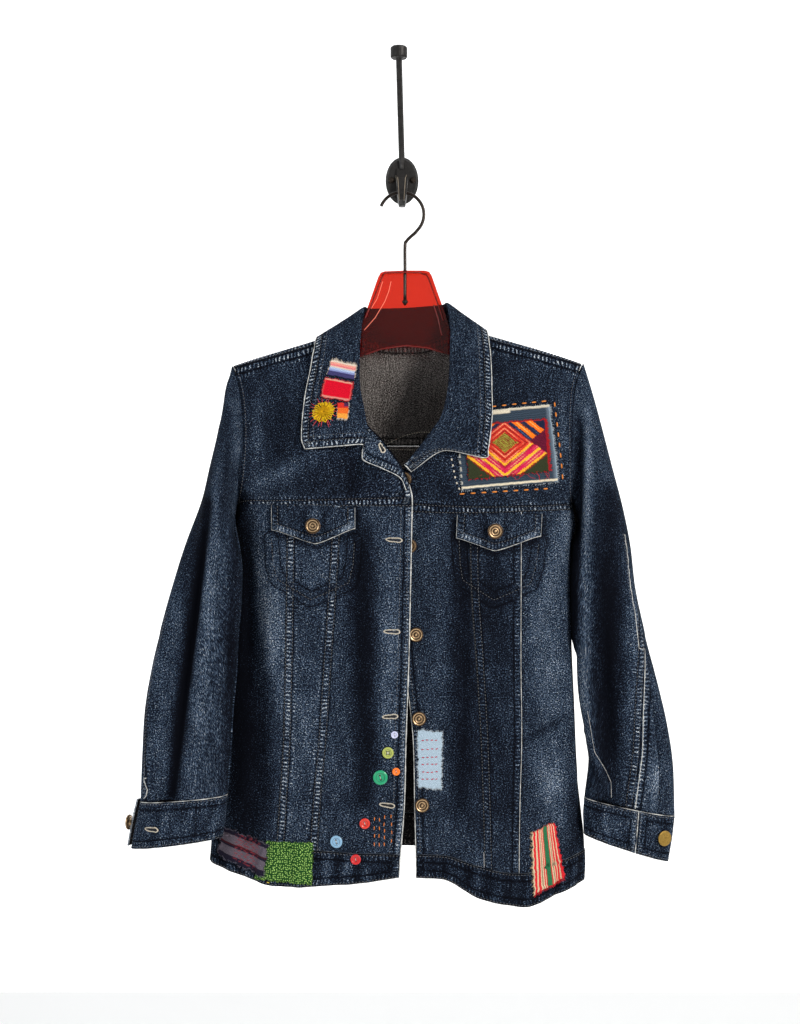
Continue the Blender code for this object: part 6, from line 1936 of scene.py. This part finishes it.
def make_wire():
    """The hanger's wire: its crook over the prong, and a barbed end inside the neck."""
    metal = speckled("hanger_wire", (0.022, 0.014, 0.010), 0.38, 0.6, 400, 0.5, 0.05)
    angles = np.radians(np.linspace(158, -42, 60))
    y, (x, z, radius) = HANGER_PLANE, CROOK
    crook = [(x + radius * math.cos(a), y, z + radius * math.sin(a)) for a in angles]
    x0, _, z0 = crook[-1]
    bend = numbered(
        "x z", (x0, z0), (x0 - 4.0, z0 - 4.6), (x0 - 9.0, z0 - 9.0), (HANGER_CENTRE + 1.6, z0 - 14.5),
        (HANGER_CENTRE, z0 - 20), (HANGER_CENTRE, -118), (HANGER_CENTRE, -153),
    )
    marks = np.linspace(0.2, 6, 40)
    lower = [(float(along(bend, "x", m)), y, float(along(bend, "z", m))) for m in marks]
    made = wire("hanger_wire_fine", crook + lower, WIRE / 2, metal)
    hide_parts("hanger_wire")
    heights = np.array([-153, -154.5, -156, -157.5, -159.5, -161.5])
    radii = np.array([1.95, 2.1, 3.5, 3.3, 2.0, 0.4])
    wire("hanger_wire_barb", [(HANGER_CENTRE, y, z) for z in heights], radii, metal)


def dress_nodes(frame):
    """Finishes for the solids that are shown as they are."""
    iron = speckled("wall_hook", (0.011, 0.009, 0.008), 0.5, 0.4, 260, 0.4, 0.5)
    screw = speckled("hook_screw", (0.045, 0.035, 0.028), 0.4, 0.9, 300, 0.5, 0.1)
    for name, one in (("wall_hook", iron), ("hook_screw_left", screw), ("hook_screw_right", screw)):
        dress(frame["nodes"][name], one)
    # Pale lines on the rib's edges: painted highlights.
    edge_glint, _, _ = finish("hook_edge_highlight", (0.20, 0.165, 0.125), 0.5, 0.6)
    strands = Strands(6)
    cast = on_solid(frame["nodes"]["wall_hook"])
    for line in HOOK_LINES:
        points, up = cast_line(cast, line, 1.5)
        leaps = np.flatnonzero(np.abs(np.diff(points[:, 1])) > 3.0) + 1
        for part, normal in zip(np.split(points, leaps), np.split(up, leaps)):
            if len(part) > 2:
                strands.add(part + normal * 0.1, 0.5, 1.0)
    strands.piece("hook_edge_highlights", edge_glint, "wall_hook")


def set_stage():
    camera = bpy.data.cameras.new("camera")
    camera.lens = LENS
    camera.sensor_width = 36.0
    made = bpy.data.objects.new("camera", camera)
    made.location = CAMERA_PLACE
    made.rotation_euler = (math.pi / 2, 0, 0)
    scene = bpy.context.scene
    scene.collection.objects.link(made)
    scene.camera = made
    scene.view_settings.view_transform = "Standard"
    pale, _, _ = finish("floor", (0.86, 0.86, 0.86), 0.9)
    white, _, shader = finish("backdrop", (0.9, 0.9, 0.9), 0.9)
    shader.inputs["Emission Color"].default_value = (1, 1, 1, 1)
    shader.inputs["Emission Strength"].default_value = 0.55
    for name, one, size, place, turn in (
        ("floor", pale, 14.0, (0, 0, -1.75), (0, 0, 0)),
        ("backdrop", white, 14.0, (0, 2.4, 3.0), (math.pi / 2, 0, 0)),
    ):
        bpy.ops.mesh.primitive_plane_add(size=size, location=place, rotation=turn)
        sheet = bpy.context.object
        sheet.name = name
        sheet.data.materials.append(one)
    world = bpy.data.worlds.new("studio")
    world.use_nodes = True
    background = world.node_tree.nodes["Background"]
    background.inputs["Color"].default_value = (0.95, 0.98, 1.0, 1)
    background.inputs["Strength"].default_value = 0.5
    scene.world = world
    for name, place, target, size, power, colour in (
        ("key", (1.9, -2.1, 0.45), (0, 0, -0.5), 0.8, 85, (1.0, 0.97, 0.93)),
        ("side", (-2.2, -1.4, 0.1), (0, 0, -0.5), 0.8, 28, (0.93, 0.97, 1.0)),
    ):
        light = bpy.data.lights.new(name, "AREA")
        light.size = size
        light.energy = power
        light.color = colour
        lamp = bpy.data.objects.new(name, light)
        lamp.location = place
        way = Vector(target) - Vector(place)
        lamp.rotation_euler = way.to_track_quat("-Z", "Y").to_euler()
        scene.collection.objects.link(lamp)


def main():
    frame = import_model()
    finishes = [denim("denim"), denim("denim_reverse", REVERSE), denim("denim_edge", RIM)]
    make_fronts(finishes)
    make_back(finishes)
    make_sleeves(finishes)
    make_collar(finishes)
    on_front = ground(FRONT_PIECES)
    make_flaps(finishes, on_front)
    on_flaps = ground((*FRONT_PIECES, "pocket_flap_left", "pocket_flap_right"))
    make_worn_edges()
    make_topstitching()
    make_pocket_stitches(on_front)
    make_buttonholes(on_front)
    make_shanks(on_flaps, ground(RIGHT_PIECES))
    make_sewn_buttons(on_front)
    make_chest_patches(on_flaps)
    make_hem_patches(on_front)
    make_collar_patches(ground(["collar"]))
    make_running_stitches(on_front)
    make_inside_stitches()
    make_hanger(frame)
    make_wire()
    dress_nodes(frame)
    set_stage()


main()
